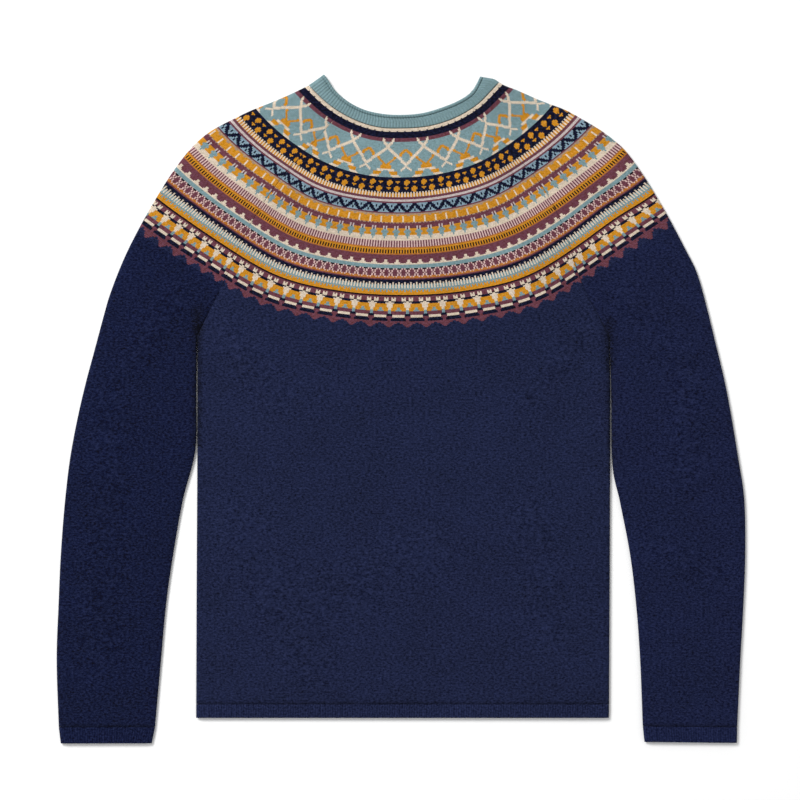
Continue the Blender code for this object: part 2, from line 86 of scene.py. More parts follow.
# One plain stitch, and the spacing of the plain cloth's mesh.
STITCH_WIDTH = 1.52
STITCH_HEIGHT = 1.31
CLOTH_STEP = 3.7
INSIDE_STEP = 15.0
RIB_INSIDE_STEP = 7.0
RIB_INSIDE_ROWS = 9.0
# Points of a curved and of a straight path, and the rounds in which the end of
# a yoke row settles on its seam.
PATH_POINTS = 241
STRAIGHT_POINTS = 41
SETTLING_ROUNDS = 20
# How much the shade of single stitches differs.
SHADE_SPREAD = 0.06

# The rows of the yoke sag round this point above the neck.
YOKE_CENTRE = (3.15, 429.45)
YOKE_ANGLES = (-52, -44, -36, -24, -12, 0, 12, 24, 36, 44, 52)
YOKE_ROWS = (
    ("neckband foot", 134.6, (-0.5, -0.7, 0.2, 1.1, 1.5, 0, 0.4, 0.4, -0.4, -2.1, -2.1)),
    ("lattice foot", 186.3, (5.9, 4.4, 3.2, 2.9, 1.6, 0, 0.3, 1.6, 1.4, 2.6, 4.4)),
    ("pale line", 210.4, (8.8, 6.1, 4.2, 4.7, 1.6, 0, 0.3, 2.6, 3.5, 5.8, 9.2)),
    ("long tick foot", 234.0, (12.5, 7.5, 4.5, 5.6, 2.1, 0, 0.8, 3.7, 3.7, 6.8, 12.6)),
    ("dark tick foot", 268.1, (14.9, 9.8, 6.6, 6.8, 2.4, 0, 1.4, 5.0, 5.9, 8.2, 14.7)),
    ("orange line", 292.4, (19.2, 11.6, 7.7, 7.7, 2.6, 0, 1.6, 6.0, 6.0, 8.4, 19.2)),
    ("dark line", 311.1, (23.3, 14.0, 9.2, 8.2, 2.6, 0, 2.4, 7.4, 6.3, 9.5, 22.1)),
    ("scallops", 338.6, (27.8, 17.3, 10.8, 9.1, 2.4, 0, 2.6, 8.4, 6.8, 12.1, 23.6)),
    ("underarm", 395.9, (75.0, 44.0, 25.0, 11.0, 3.0, 0, 3.0, 11.0, 25.0, 44.0, 75.0)),
)
# Angle from a motif's axis within which a band's repeats are counted.
YOKE_REACH = 75.0
YOKE_TOP = 134.9
UNDERARM = 395.9
OPEN_UNTIL = 339.7

# Raglan seams: radius under the yoke centre, and the seam's angle.
RIGHT_RAGLAN = ((134.0, -29.5), (173.0, -32.0), (196.0, -33.4), (241.5, -34.6),
                (292.0, -34.2), (346.5, -32.6), (413.2, -31.6))
LEFT_RAGLAN = ((134.0, 32.8), (173.0, 34.4), (196.0, 35.8), (241.5, 36.7),
               (292.0, 35.2), (346.5, 32.4), (413.2, 31.5))

# Outer fold of the shoulders: radius under the yoke centre, and its angle.
RIGHT_SHOULDER = (
    (112.0, -46.9), (134.0, -48.2), (145.0, -49.3), (169.0, -51.7), (196.0, -54.0),
    (221.0, -55.2), (243.0, -55.8), (260.0, -55.6), (275.0, -55.0), (300.0, -53.5),
    (335.0, -51.2), (369.0, -49.1), (391.0, -47.8), (412.0, -46.5), (442.0, -44.6),
)
LEFT_SHOULDER = (
    (113.0, 45.0), (116.0, 46.0), (122.0, 48.0), (127.0, 49.1), (138.0, 49.8),
    (152.0, 51.6), (178.0, 53.8), (206.0, 55.9), (228.0, 56.4), (248.0, 56.6),
    (265.0, 56.4), (281.0, 55.9), (306.0, 54.3), (341.0, 51.9), (374.0, 49.8),
    (396.0, 48.5), (418.0, 47.3), (447.0, 45.15),
)

# Body below the underarm: height, and the side folds at -X and +X.
BODY_SIDES = (
    (-324.5, -214.7, 219.0),
    (-310.0, -214.7, 219.2),
    (-200.0, -214.3, 219.8),
    (-80.0, -213.6, 220.3),
    (20.0, -213.3, 220.5),
    (77.7, -213.3, 219.6),
)
BODY_TOP = 77.7
ROW_SAG_ENDS = -160.0
BODY_BOTTOM = -309.8
HEM_BOTTOM = -324.5

# Sleeve below the underarm: inner fold x, y and outer fold x, y.
RIGHT_SLEEVE = (
    (-213.9, 77.7, -305.7, 115.5),
    (-214.5, 14.7, -330.0, 30.4),
    (-215.6, -43.3, -344.7, -36.8),
    (-228.6, -95.5, -351.8, -89.2),
    (-238.9, -153.3, -356.8, -150.2),
    (-246.3, -205.8, -359.3, -204.8),
    (-251.6, -263.5, -361.3, -263.5),
    (-257.9, -333.9, -359.1, -334.0),
)
RIGHT_CUFF = ((-257.9, -334.2, -359.1, -334.3), (-261.4, -351.2, -357.0, -351.4))
LEFT_SLEEVE = (
    (219.9, 77.7, 317.9, 117.0),
    (221.4, 14.7, 340.4, 30.4),
    (222.6, -58.0, 355.4, -54.0),
    (230.9, -99.0, 361.4, -96.5),
    (241.3, -153.3, 362.4, -151.2),
    (247.8, -207.9, 360.4, -205.8),
    (251.8, -263.5, 357.2, -263.5),
    (254.6, -332.9, 353.9, -333.9),
)
LEFT_CUFF = ((254.6, -333.2, 353.9, -334.2), (256.4, -349.8, 353.6, -350.8))
ARM_BOW_ENDS = 5.0
UNDERARM_EASING_ENDS = 0.8

# Rim of the neckband: angle under the yoke centre and radius of the edge.
NECK_RIM = (
    (-46.5, 114.2), (-43.0, 115.4), (-38.0, 118.5), (-30.0, 121.0), (-20.0, 122.2),
    (-10.0, 121.4), (0.0, 120.5), (10.0, 120.3), (20.0, 119.8), (30.0, 120.5),
    (36.0, 120.2), (39.0, 118.6), (42.0, 116.1), (44.5, 114.1),
)
NECKBAND_FOOT = 134.3
NECKBAND_DEPTH = 13.0

# Soft ridges where the upper layer lifts off the lower one: start x, y, end
# x, y, half width and height.
SOFT_RIDGES = (
    (-188.0, 84.0, -128.0, 10.0, 15.0, 1.1),
    (-236.0, 116.0, -282.0, 48.0, 14.0, 1.0),
    (196.0, 82.0, 140.0, 16.0, 14.0, 1.0),
    (240.0, 118.0, 286.0, 60.0, 13.0, 1.1),
    (-168.0, -120.0, -96.0, -268.0, 26.0, 0.9),
    (-96.0, -214.0, 20.0, -150.0, 30.0, 0.7),
    (136.0, -110.0, 160.0, -240.0, 22.0, 0.8),
    (-302.0, 10.0, -318.0, -270.0, 20.0, 0.9),
    (296.0, 50.0, 306.0, -70.0, 18.0, 0.8),
    (262.0, -140.0, 334.0, -176.0, 14.0, 0.8),
)

# Painted shade of the deep creases by the underarms, darkening the upper layer's
# yarn colours: start x, y, end x, y, half width and darkness.
DEEP_CREASE_PAINTED_SHADE = (
    (-213.0, 102.0, -213.0, 84.0, 7.0, 0.55),
    (-213.0, 86.0, -213.5, -38.0, 4.0, 0.55),
    (218.5, 92.0, 219.5, 50.0, 5.5, 0.5),
    (219.5, 50.0, 221.5, -66.0, 3.6, 0.45),
)


class Yarn(Enum):
    """Yarns of the sweater, each with its letter in the charts and its colour, and darker copies
    of some of them that are painted shade.
    """

    NAVY = ("N", (31, 39, 73))
    # The sleeves' navies are the body's navy made darker, the right one most: painted shade for
    # the weaker light on the sleeves.
    RIGHT_ARM_NAVY_PAINTED_SHADE = ("A", (18, 27, 62))
    LEFT_ARM_NAVY_PAINTED_SHADE = ("B", (26, 34, 70))
    YOKE_NAVY = ("n", (14, 18, 46))
    BLACK = ("k", (28, 12, 16))
    TEAL = ("t", (138, 169, 175))
    # The neckband's teal is the teal made darker: painted shade of the hollows between its ribs.
    NECK_TEAL_PAINTED_SHADE = ("T", (127, 156, 161))
    CREAM = ("c", (244, 225, 202))
    PINK_PALE = ("q", (240, 205, 198))
    MUSTARD = ("g", (226, 154, 40))
    ORANGE = ("o", (200, 126, 56))
    PLUM = ("p", (119, 68, 81))
    PALE_BLUE = ("b", (146, 173, 190))
    PALE_PINK = ("w", (218, 202, 200))
    TAN = ("e", (184, 156, 132))

    def __init__(self, letter: str, tone: tuple[int, int, int]) -> None:
        """Keep the yarn's two values.

        Args:
            letter: Letter of the yarn in the charts.
            tone: Display colour of the yarn, from 0 to 255.
        """
        self.letter = letter
        self.tone = tone

    @property
    def linear(self) -> tuple[float, ...]:
        """Reflectance that shows this colour in the studio's light."""
        return tuple(((level / 255 + 0.055) / 1.055) ** 2.4 / LIGHT_LEVEL for level in self.tone)


YARN_INDEX = {yarn.letter: number for number, yarn in enumerate(Yarn)}


class Axis(Enum):
    """Where a chart's motif has its middle, if it is mirrored at all."""

    ON_STITCH = "on a stitch"
    BETWEEN_STITCHES = "between two stitches"
    NONE = "not mirrored"


@dataclass(frozen=True)
class Chart:
    """One band of the yoke, as half of a mirrored repeat or as a whole one.

    Each row of letters runs from the axis of a motif to the axis between two
    motifs. Radii are in millimetres under the yoke centre, angles in degrees.

    Args:
        name: What the band shows.
        top: Centre radius of its first row.
        bottom: Centre radius below its last row.
        stitches: Stitches in a whole repeat.
        front: Angle of a motif and the repeat's angle on the front.
        right: The same on the wearer's right sleeve.
        left: The same on the wearer's left sleeve.
        below: Letter of the one plain row that follows.
        rows: Repeats, or halves of them, from the neck outwards.
        axis: Where the motif is mirrored.
    """

    name: str
    top: float
    bottom: float
    stitches: int
    front: tuple[float, float]
    right: tuple[float, float]
    left: tuple[float, float]
    below: str
    rows: tuple[str, ...]
    axis: Axis = Axis.ON_STITCH

    def stitch_angle(self, side: str) -> float:
        """Angle of one stitch of the repeat on a side."""
        return getattr(self, side)[1] / self.stitches

    def letters(self, row: int, stitches: np.ndarray) -> np.ndarray:
        """Yarn numbers of the stitches of one row.

        Args:
            row: Row of the chart.
            stitches: Whole stitch numbers, counted from a motif's axis.

        Returns:
            The number of each stitch's yarn.
        """
        place = np.mod(stitches, self.stitches)
        if self.axis is Axis.ON_STITCH:
            place = np.minimum(place, self.stitches - place)
        elif self.axis is Axis.BETWEEN_STITCHES:
            place = np.mod(stitches - 1, self.stitches)
            place = np.minimum(place, self.stitches - 1 - place)
        codes = np.array([YARN_INDEX[letter] for letter in self.rows[row]])
        return codes[place]


CHARTS = (
    Chart("notches", 134.9, 138.4, 5, (0.6, 3.27), (-36.0, 3.3), (37.0, 3.44), "n",
          ("ccc", "ccc", "ncc")),
    Chart("lattice", 139.6, 186.2, 26, (0.9, 13.94), (-37.6, 12.6), (39.8, 12.4), "n",
          ("nnnnnnnnnnnnnn", "nnnnnnnnnnnnnn", "nnnnnnnnnnnnnn", "nnnnnnnnnnnnnn",
           "pppppppppcpppp", "pppppppppccppp", "pppppppppccppp", "ttttttttttcctt",
           "ttttttttttccct", "tttttttttttccc", "ttttttttttttcc", "ttttttttttttcc",
           "tttttttttttccc", "ggttttttttccct", "gggttttttccctt", "tgggttttcccttt",
           "ttgggttccctttt", "tttggtcccttttt", "tttggccctttttt", "ttttcccggttttt",
           "tttccctggttttt", "tttcctttggtttt", "ttcctttttggttt", "tcccttttttggtt",
           "cccttttttttggt", "cctttttttttggg", "ctttttttttgggg", "ccttttttttgggg",
           "tcctttttttgggg", "ttccttttcccccc", "tttcttttcccctt", "ttttttgggggttt",
           "ttttttgggggttt", "ttttttggggtttt", "tttttccccctttt", "ttttcccccttttt")),
    Chart("dots and pegs", 187.4, 211.8, 12, (0.9, 5.362), (-35.9, 4.85), (37.7, 5.41), "p",
          ("nnnnnnnnnnnn", "ggnnnnnnnnnn", "gggnngggnnng", "gggnnngnnnng", "ggnnnnnnnnng",
           "gnnnnnnnnnnn", "nnnnnggnnnnn", "ggnnggggnnng", "gnnnggggnnnn", "nnnngggnnnnn",
           "nnnnnggnnnnn", "ncncncncncnc", "gcgcgcgcgcgc", "gcgcgcgcgcgc", "gcgcgcgcgcgc",
           "pppppppppppp", "pppppppppppp", "wwwwwwwwwwww", "wwwwwwwwwwww"), Axis.NONE),
    Chart("zigzag", 213.5, 222.9, 10, (1.0, 4.265), (-36.0, 4.175), (38.0, 4.3), "p",
          ("bbbbnn", "nbbnnn", "nbnnnb", "bbnnnb", "bnnnbn", "nnnbbn", "nnbbbb")),
    Chart("long ticks", 224.2, 234.5, 7, (-0.09, 2.85), (-35.7, 2.788), (38.0, 2.823), "p",
          ("eeee", "ggge", "cggg", "cggg", "cggg", "cggg", "cggg", "pepe")),
    Chart("beads", 235.8, 251.6, 8, (1.0, 2.803), (-37.3, 2.734), (39.4, 2.783), "c",
          ("ppppp", "pwppp", "pwppp", "nwggg", "ttggg", "tttgg", "tttgg", "ttggg",
           "ttggg", "ttccc", "tcccc", "tcccc", "ccccc")),
    Chart("stripes and teeth", 252.7, 280.2, 8, (1.0, 2.52), (-36.9, 2.373), (38.65, 2.485),
          "t",
          ("pqpqpqpq", "pqpqpqpq", "pqpqpqpq", "pqpqpqpq", "pqpqpqpq", "oooooooo",
           "gggggggg", "kgkgkgkg", "kgkgkgkg", "kgkgkgkg", "oooooooo", "pppppppp",
           "pppppppp", "pppppppp", "pppppppp", "ccpppppp", "ccpppppp", "cccppppc",
           "cccccccc", "tttttttt", "tttttttt"), Axis.NONE),
    Chart("crosses and spikes", 281.7, 307.8, 12, (0.9, 3.58), (-37.0, 3.07), (38.0, 3.28), "g",
          ("kkqpqkk", "pqpppqp", "pqpppqp", "qpppppq", "pqpppqp", "pqpppqp", "ooqoqoo",
           "ooooooo", "ppppppp", "nnnnnnn", "nnnnnnn", "nncnnnc", "cncncnc", "ctctctc",
           "ctctctc", "ctctctc", "ttttttt", "tgtgtgt", "ggtgggt", "ggggggg")),
    Chart("trees", 309.6, 343.7, 12, (0.6, 3.31), (-36.6, 2.74), (40.2, 2.9), "N",
          ("kkkkkk", "pppppp", "pcpcpp", "pcccpp", "kcccpp", "cnnnnn", "cccnnn", "ccgggg",
           "ccgggg", "ccgggg", "cggggt", "cggggt", "tgggtt", "tppppp", "tppppp", "nnpppp",
           "nncccc", "ppcccc", "ppnnnn", "pnnnnn", "pnnnnn", "pppppp", "pppppN", "pppNNN",
           "ppNNNN", "pNNNNN"), Axis.BETWEEN_STITCHES),
)
YOKE_BOTTOM = 344.9
# How much the repeats close up away from the middle of the front.
REPEAT_CLOSING = 3.6e-5
# Least part of a half stitch that is kept where a seam cuts it.
CUT_STITCH = 0.3


def smooth_curve(keys: ArrayLike, values: ArrayLike, x: ArrayLike) -> np.ndarray:
    """Smooth curve through given points, straight outside them.

    Args:
        keys: Places of the points, rising.
        values: Values at the points.
        x: Places where the curve is wanted.

    Returns:
        The curve's values at x.
    """
    keys = np.asarray(keys, float)
    values = np.asarray(values, float)
    x = np.asarray(x, float)
    last = len(keys) - 1
    i = np.clip(np.searchsorted(keys, x, side="right") - 1, 0, last - 1)
    slopes = []
    for n in (i, i + 1):
        low, high = np.maximum(n - 1, 0), np.minimum(n + 1, last)
        slopes.append((values[high] - values[low]) / (keys[high] - keys[low]))
    span = keys[i + 1] - keys[i]
    t = (x - keys[i]) / span
    inside = (values[i] * (2 * t ** 3 - 3 * t ** 2 + 1)
              + slopes[0] * span * (t ** 3 - 2 * t ** 2 + t)
              + values[i + 1] * (3 * t ** 2 - 2 * t ** 3)
              + slopes[1] * span * (t ** 3 - t ** 2))
    first_slope = (values[1] - values[0]) / (keys[1] - keys[0])
    last_slope = (values[-1] - values[-2]) / (keys[-1] - keys[-2])
    before = values[0] + first_slope * (x - keys[0])
    after = values[-1] + last_slope * (x - keys[-1])
    return np.where(x <= keys[0], before, np.where(x >= keys[-1], after, inside))


def smoothstep(x: ArrayLike) -> np.ndarray:
    """Ease x from 0 to 1, held flat outside."""
    x = np.clip(x, 0.0, 1.0)
    return x * x * (3.0 - 2.0 * x)


def row_radius(centre: ArrayLike, angle: ArrayLike) -> np.ndarray:
    """Radius of yoke rows away from the middle, where they sag.

    Args:
        centre: Radii of the rows at the middle of the front.
        angle: Angles from there, in degrees.

    Returns:
        The radii at the angles.
    """
    centre, angle = np.broadcast_arrays(np.asarray(centre, float), np.asarray(angle, float))
    radii = np.array([row[1] for row in YOKE_ROWS])
    sags = np.stack([smooth_curve(YOKE_ANGLES, row[2], angle) for row in YOKE_ROWS])
    i = np.clip(np.searchsorted(radii, centre) - 1, 0, len(radii) - 2)
    low = np.take_along_axis(sags, i[None], 0)[0]
    high = np.take_along_axis(sags, i[None] + 1, 0)[0]
    share = (centre - radii[i]) / (radii[i + 1] - radii[i])
    return centre + low + (high - low) * share


def yoke_place(radius: ArrayLike, angle: ArrayLike) -> np.ndarray:
    """Places (x, y) under the yoke centre at radii and angles in degrees."""
    turn = np.radians(angle)
    return np.stack([YOKE_CENTRE[0] + radius * np.sin(turn),
                     YOKE_CENTRE[1] - radius * np.cos(turn)], -1)


def row_end(centre: ArrayLike, line: tuple) -> np.ndarray:
    """Angles at which yoke rows meet a seam or fold.

    Args:
        centre: Centre radii of the rows.
        line: Radius and angle of the points of the seam or fold.

    Returns:
        The angle at which each row meets it.
    """
    radii, angles = zip(*line)
    centre = np.asarray(centre, float)
    angle = np.full(centre.shape, float(angles[0]))
    for _ in range(SETTLING_ROUNDS):
        angle = smooth_curve(radii, angles, row_radius(centre, angle))
    return angle


def raglan_open_share(centre: ArrayLike) -> np.ndarray:
    """How far the raglan edges of yoke rows are open, from 1 down to 0."""
    return 1.0 - smoothstep((np.asarray(centre, float) - OPEN_UNTIL) / (UNDERARM - OPEN_UNTIL))


def body_sides(heights: np.ndarray) -> tuple[np.ndarray, np.ndarray]:
    """Places along X of the body's side folds at -X and +X, by height."""
    keys, left, right = np.array(BODY_SIDES).T
    return np.interp(heights, keys, left), np.interp(heights, keys, right)


def nearness(x: np.ndarray, y: np.ndarray, line: list[float]) -> np.ndarray:
    """How near places are to a line, from 0 to 1.

    Args:
        x: Places along X.
        y: Places along Y.
        line: The line's start x, y, end x, y and half width.

    Returns:
        1 on the line, and less away from it.
    """
    ax, ay, bx, by, half_width = line
    length_squared = (bx - ax) ** 2 + (by - ay) ** 2
    share = ((x - ax) * (bx - ax) + (y - ay) * (by - ay)) / length_squared
    share = np.clip(share, 0.0, 1.0)
    gap = np.hypot(x - ax - (bx - ax) * share, y - ay - (by - ay) * share)
    return np.exp(-(gap / half_width) ** 2)


def ridge_height(x: np.ndarray, y: np.ndarray) -> np.ndarray:
    """Height of the soft ridges at places of the upper layer.

    Args:
        x: Places along X.
        y: Places along Y.

    Returns:
        The height at each place.
    """
    height = np.zeros_like(x)
    for *line, peak in SOFT_RIDGES:
        height += peak * nearness(x, y, line)
    return height


def painted_crease_shade(x: np.ndarray, y: np.ndarray) -> np.ndarray:
    """Painted shade: how much the yarn colours of the upper layer keep in its deep creases.

    Args:
        x: Places along X.
        y: Places along Y.

    Returns:
        1 away from the creases, and less in them.
    """
    shade = np.ones_like(x)
    for *line, darkness in DEEP_CREASE_PAINTED_SHADE:
        shade *= 1.0 - darkness * nearness(x, y, line)
    return shade


def edge_share(distance: np.ndarray, open_share: ArrayLike) -> np.ndarray:
    """How high cloth lies near an edge.

    Args:
        distance: Distances from the edge.
        open_share: How far the edge is open, where 0 is a closed fold.

    Returns:
        0 at mid height and 1 on top.
    """
    inside = np.clip(distance / FOLD_REACH, 0.0, 1.0)
    rounded = np.sqrt(np.clip(1.0 - (1.0 - inside) ** 2, 0.0, 1.0))
    return rounded + (1.0 - rounded) * open_share


def seam_dip(distance: np.ndarray, open_share: ArrayLike) -> np.ndarray:
    """Depth of the groove along a sewn or knitted-on edge."""
    return SEAM_DIP * np.exp(-(distance / SEAM_DIP_WIDTH) ** 2) * open_share


@dataclass
class Chain:
    """A row of points across the cloth.

    Args:
        ids: Numbers of the points.
        marks: Share of the row before each point.
        stitch: Knit coordinate across, in stitches.
        row: Knit coordinate along, in rows.
    """

    ids: np.ndarray
    marks: np.ndarray
    stitch: np.ndarray
    row: float


class Cloth:
    """Points and faces of one closed shell, with yarn and knit coordinates."""

    def __init__(self) -> None:
        """Start with no points and no faces."""
        self.points: list[np.ndarray] = []
        self.count = 0
        self.corners: list[np.ndarray] = []
        self.sizes: list[np.ndarray] = []
        self.knit: list[np.ndarray] = []
        self.tints: list[np.ndarray] = []

    def add_points(self, x: ArrayLike, y: ArrayLike, z: ArrayLike, lift: ArrayLike = 0.0,
                   sink: ArrayLike = 0.0) -> np.ndarray:
        """Add points and return their numbers.

        Args:
            x: Places along X.
            y: Places along Y.
            z: Heights in the upper layer, without its own relief.
            lift: Relief that only the upper layer has.
            sink: Relief that only the lower layer has.

        Returns:
            The numbers of the points, in the shape of x.
        """
        parts = np.broadcast_arrays(x, y, z, lift, sink)
        block = np.stack([np.asarray(part, float).ravel() for part in parts], -1)
        ids = np.arange(self.count, self.count + len(block)).reshape(parts[0].shape)
        self.points.append(block)
        self.count += len(block)
        return ids

    def add_faces(self, faces: np.ndarray, knit: np.ndarray, tint: np.ndarray) -> None:
        """Add faces of four corners, some of which may fall together.

        Args:
            faces: Point numbers, n by 4.
            knit: Stitch and row coordinates of the corners, n by 4 by 2.
            tint: Yarn number of each face.
        """
        same = faces == np.roll(faces, -1, axis=1)
        doubled = same.sum(1)
        whole = doubled == 0
        self._store(faces[whole], knit[whole], tint[whole])
        cut = doubled == 1
        if cut.any():
            keep = ~same[cut]
            corners = faces[cut][keep].reshape(-1, 3)
            self._store(corners, knit[cut][keep].reshape(-1, 3, 2), tint[cut])

    def _store(self, faces: np.ndarray, knit: np.ndarray, tint: np.ndarray) -> None:
        """Keep faces that all have the same number of corners."""
        self.corners.append(faces.ravel())
        self.sizes.append(np.full(len(faces), faces.shape[1]))
        self.knit.append(knit.reshape(-1, 2))
        self.tints.append(np.asarray(tint))

    def add_grid(self, ids: np.ndarray, stitch: np.ndarray, row: np.ndarray,
                 tint: ArrayLike) -> None:
        """Join rows that have the same number of points.

        Args:
            ids: Point numbers, row by row.
            stitch: Knit coordinates across.
            row: Knit coordinates along.
            tint: Yarn number, for all faces or one by one.
        """
        knit = np.stack(np.broadcast_arrays(stitch, row), -1)
        faces = np.stack([ids[:-1, :-1], ids[:-1, 1:], ids[1:, 1:], ids[1:, :-1]], -1)
        uv = np.stack([knit[:-1, :-1], knit[:-1, 1:], knit[1:, 1:], knit[1:, :-1]], 2)
        tints = np.broadcast_to(tint, faces.shape[:2])
        self.add_faces(faces.reshape(-1, 4), uv.reshape(-1, 4, 2), tints.ravel())

    def zip_chains(self, first: Chain, second: Chain, tint: int) -> None:
        """Join two chains whose numbers of points differ.

        Args:
            first: Chain above.
            second: Chain below.
            tint: Yarn number of the faces between them.
        """
        first_stitch = np.interp(first.marks, second.marks, second.stitch)
        faces, knit = [], []
        i = j = 0
        last_i, last_j = len(first.ids) - 1, len(second.ids) - 1
        while i < last_i or j < last_j:
            next_a = first.marks[i + 1] if i < last_i else 2.0
            next_b = second.marks[j + 1] if j < last_j else 2.0
            a = (first.ids[i], (first_stitch[i], first.row))
            b = (second.ids[j], (second.stitch[j], second.row))
            if next_a <= next_b:
                i += 1
                c = (first.ids[i], (first_stitch[i], first.row))
            else:
                j += 1
                c = (second.ids[j], (second.stitch[j], second.row))
            faces.append((a[0], c[0], b[0]))
            knit.append((a[1], c[1], b[1]))
        self._store(np.array(faces), np.array(knit, float), np.full(len(faces), tint))

    def mirror(self, shared: np.ndarray) -> None:
        """Add the lower layer under the upper one.

        Args:
            shared: Numbers of the points that both layers have.
        """
        block = np.concatenate(self.points)
        fresh = np.ones(self.count, bool)
        fresh[shared] = False
        numbers = np.arange(self.count)
        numbers[fresh] = self.count + np.arange(fresh.sum())
        lower = block[fresh].copy()
        lower[:, 2] = LAID_HEIGHT - lower[:, 2] + lower[:, 4]
        lower[:, 3:] = 0.0
        self.points.append(lower)
        self.count += len(lower)
        for part in range(len(self.corners)):
            size = self.sizes[part]
            if not len(size):
                continue
            width = size[0]
            faces = self.corners[part].reshape(-1, width)[:, ::-1]
            knit = self.knit[part].reshape(-1, width, 2)[:, ::-1]
            self._store(numbers[faces], knit, self.tints[part])

    def turn_under(self) -> None:
        """Turn the shell into a lower layer that lies on the surface."""
        for block in self.points:
            block[:, 2] = LAID_HEIGHT - block[:, 2] + block[:, 4]
            block[:, 3:] = 0.0

    def make_object(self, name: str, seed: int) -> bpy.types.Object:
        """Make the mesh object of the shell.

        Args:
            name: Name of the piece.
            seed: Start of the small differences between stitches.

        Returns:
            The piece, with its "yarn" colours, which hold painted crease shade, and "knit"
            coordinates.
        """
        block = np.concatenate(self.points)
        places = block[:, :3].copy()
        places[:, 2] += block[:, 3]
        corners = np.concatenate(self.corners).astype(np.int32)
        sizes = np.concatenate(self.sizes).astype(np.int32)
        tints = np.concatenate(self.tints)
        mesh = bpy.data.meshes.new(name)
        mesh.vertices.add(len(places))
        mesh.vertices.foreach_set("co", (places * MM).astype(np.float32).ravel())
        mesh.loops.add(len(corners))
        mesh.loops.foreach_set("vertex_index", corners)
        mesh.polygons.add(len(sizes))
        starts = np.concatenate([[0], np.cumsum(sizes)[:-1]]).astype(np.int32)
        mesh.polygons.foreach_set("loop_start", starts)
        mesh.update(calc_edges=True)
        uv = mesh.uv_layers.new(name="knit")
        uv.data.foreach_set("uv", np.concatenate(self.knit).astype(np.float32).ravel())
        palette = np.array([(*yarn.linear, 1.0) for yarn in Yarn], np.float32)
        draw = np.random.default_rng(seed)
        shade = draw.normal(1.0, SHADE_SPREAD, len(sizes)).clip(0.8, 1.2)
        colours = np.repeat(palette[tints], sizes, axis=0)
        x, y, z = places[corners].T
        # Painted shade: the colours of the upper layer darken along the deep creases.
        crease = np.where(z > FOLD_RADIUS - SEAM_GAP, painted_crease_shade(x, y), 1.0)
        colours[:, :3] *= (np.repeat(shade, sizes) * crease)[:, None]
        yarn = mesh.color_attributes.new("yarn", "FLOAT_COLOR", "CORNER")
        yarn.data.foreach_set("color", colours.astype(np.float32).ravel())
        self._face_outwards(mesh)
        mesh.shade_smooth()
        piece = bpy.data.objects.new(name, mesh)
        bpy.context.scene.collection.objects.link(piece)
        return piece

    @staticmethod
    def _face_outwards(mesh: bpy.types.Mesh) -> None:
        """Turn every face of the closed shell to its outer side."""
        shape = bmesh.new()
        shape.from_mesh(mesh)
        bmesh.ops.recalc_face_normals(shape, faces=shape.faces)
        shape.to_mesh(mesh)
        shape.free()


class Edge(Enum):
    """What a side edge of a piece is."""

    SEAM = "seam"
    FOLD = "fold"


@dataclass
class Layer:
    """One layer of a shell while it is made.

    Args:
        cloth: The shell.
        left: Points of its left edge, from the neck.
        right: Points of its right edge, from the neck.
        first: Its top chain.
        last: Its bottom chain so far.
    """

    cloth: Cloth
    left: list[int] = field(default_factory=list)
    right: list[int] = field(default_factory=list)
    first: Chain | None = None
    last: Chain | None = None

    def follow(self, top: Chain, bottom: Chain, ids: np.ndarray, tint: int) -> None:
        """Join a new stretch of rows below what is there.

        Args:
            top: Top chain of the new stretch.
            bottom: Bottom chain of the new stretch.
            ids: All its points, row by row.
            tint: Yarn of the row that joins it on.
        """
        if self.last is None:
            self.first = top
        else:
            self.cloth.zip_chains(self.last, top, tint)
        self.last = bottom
        self.left.extend(int(point) for point in ids[:, 0])
        self.right.extend(int(point) for point in ids[:, -1])


def plain_chain(ids: ArrayLike) -> Chain:
    """Chain whose knit coordinates don't matter, as on a hidden edge."""
    marks = np.linspace(0.0, 1.0, len(ids))
    return Chain(np.asarray(ids), marks, marks * len(ids), 0.0)


def path_lengths(paths: np.ndarray) -> np.ndarray:
    """Length of each path before each of its points."""
    steps = np.linalg.norm(np.diff(paths, axis=-2), axis=-1)
    return np.concatenate([np.zeros((*steps.shape[:-1], 1)), np.cumsum(steps, -1)], -1)


def along_paths(paths: np.ndarray, travelled: np.ndarray,
                wanted: np.ndarray) -> tuple[np.ndarray, np.ndarray]:
    """Places at given distances along paths.

    Args:
        paths: Points of each path.
        travelled: Length of each path before each of its points.
        wanted: Distances along each path.

    Returns:
        Places along X and places along Y, in the shape of wanted.
    """
    x, y = (np.stack([np.interp(row, lengths, path[:, side])
                      for row, lengths, path in zip(wanted, travelled, paths)])
            for side in (0, 1))
    return x, y


def column_distances(length: float, step: float, fold_steps: int) -> np.ndarray:
    """Distances across a row, close together over the folds at its ends.

    Args:
        length: Length of the row.
        step: Distance between two columns away from the folds.
        fold_steps: Columns over each fold.

    Returns:
        The distances from the row's start.
    """
    turns = np.linspace(0.0, math.pi / 2, fold_steps + 1)
    fold = FOLD_RADIUS * (1.0 - np.cos(turns))
    inner = np.linspace(FOLD_RADIUS, length - FOLD_RADIUS,
                        max(int(round((length - 2 * FOLD_RADIUS) / step)), 2) + 1)
    return np.concatenate([fold[:-1], inner, (length - fold[:-1])[::-1]])


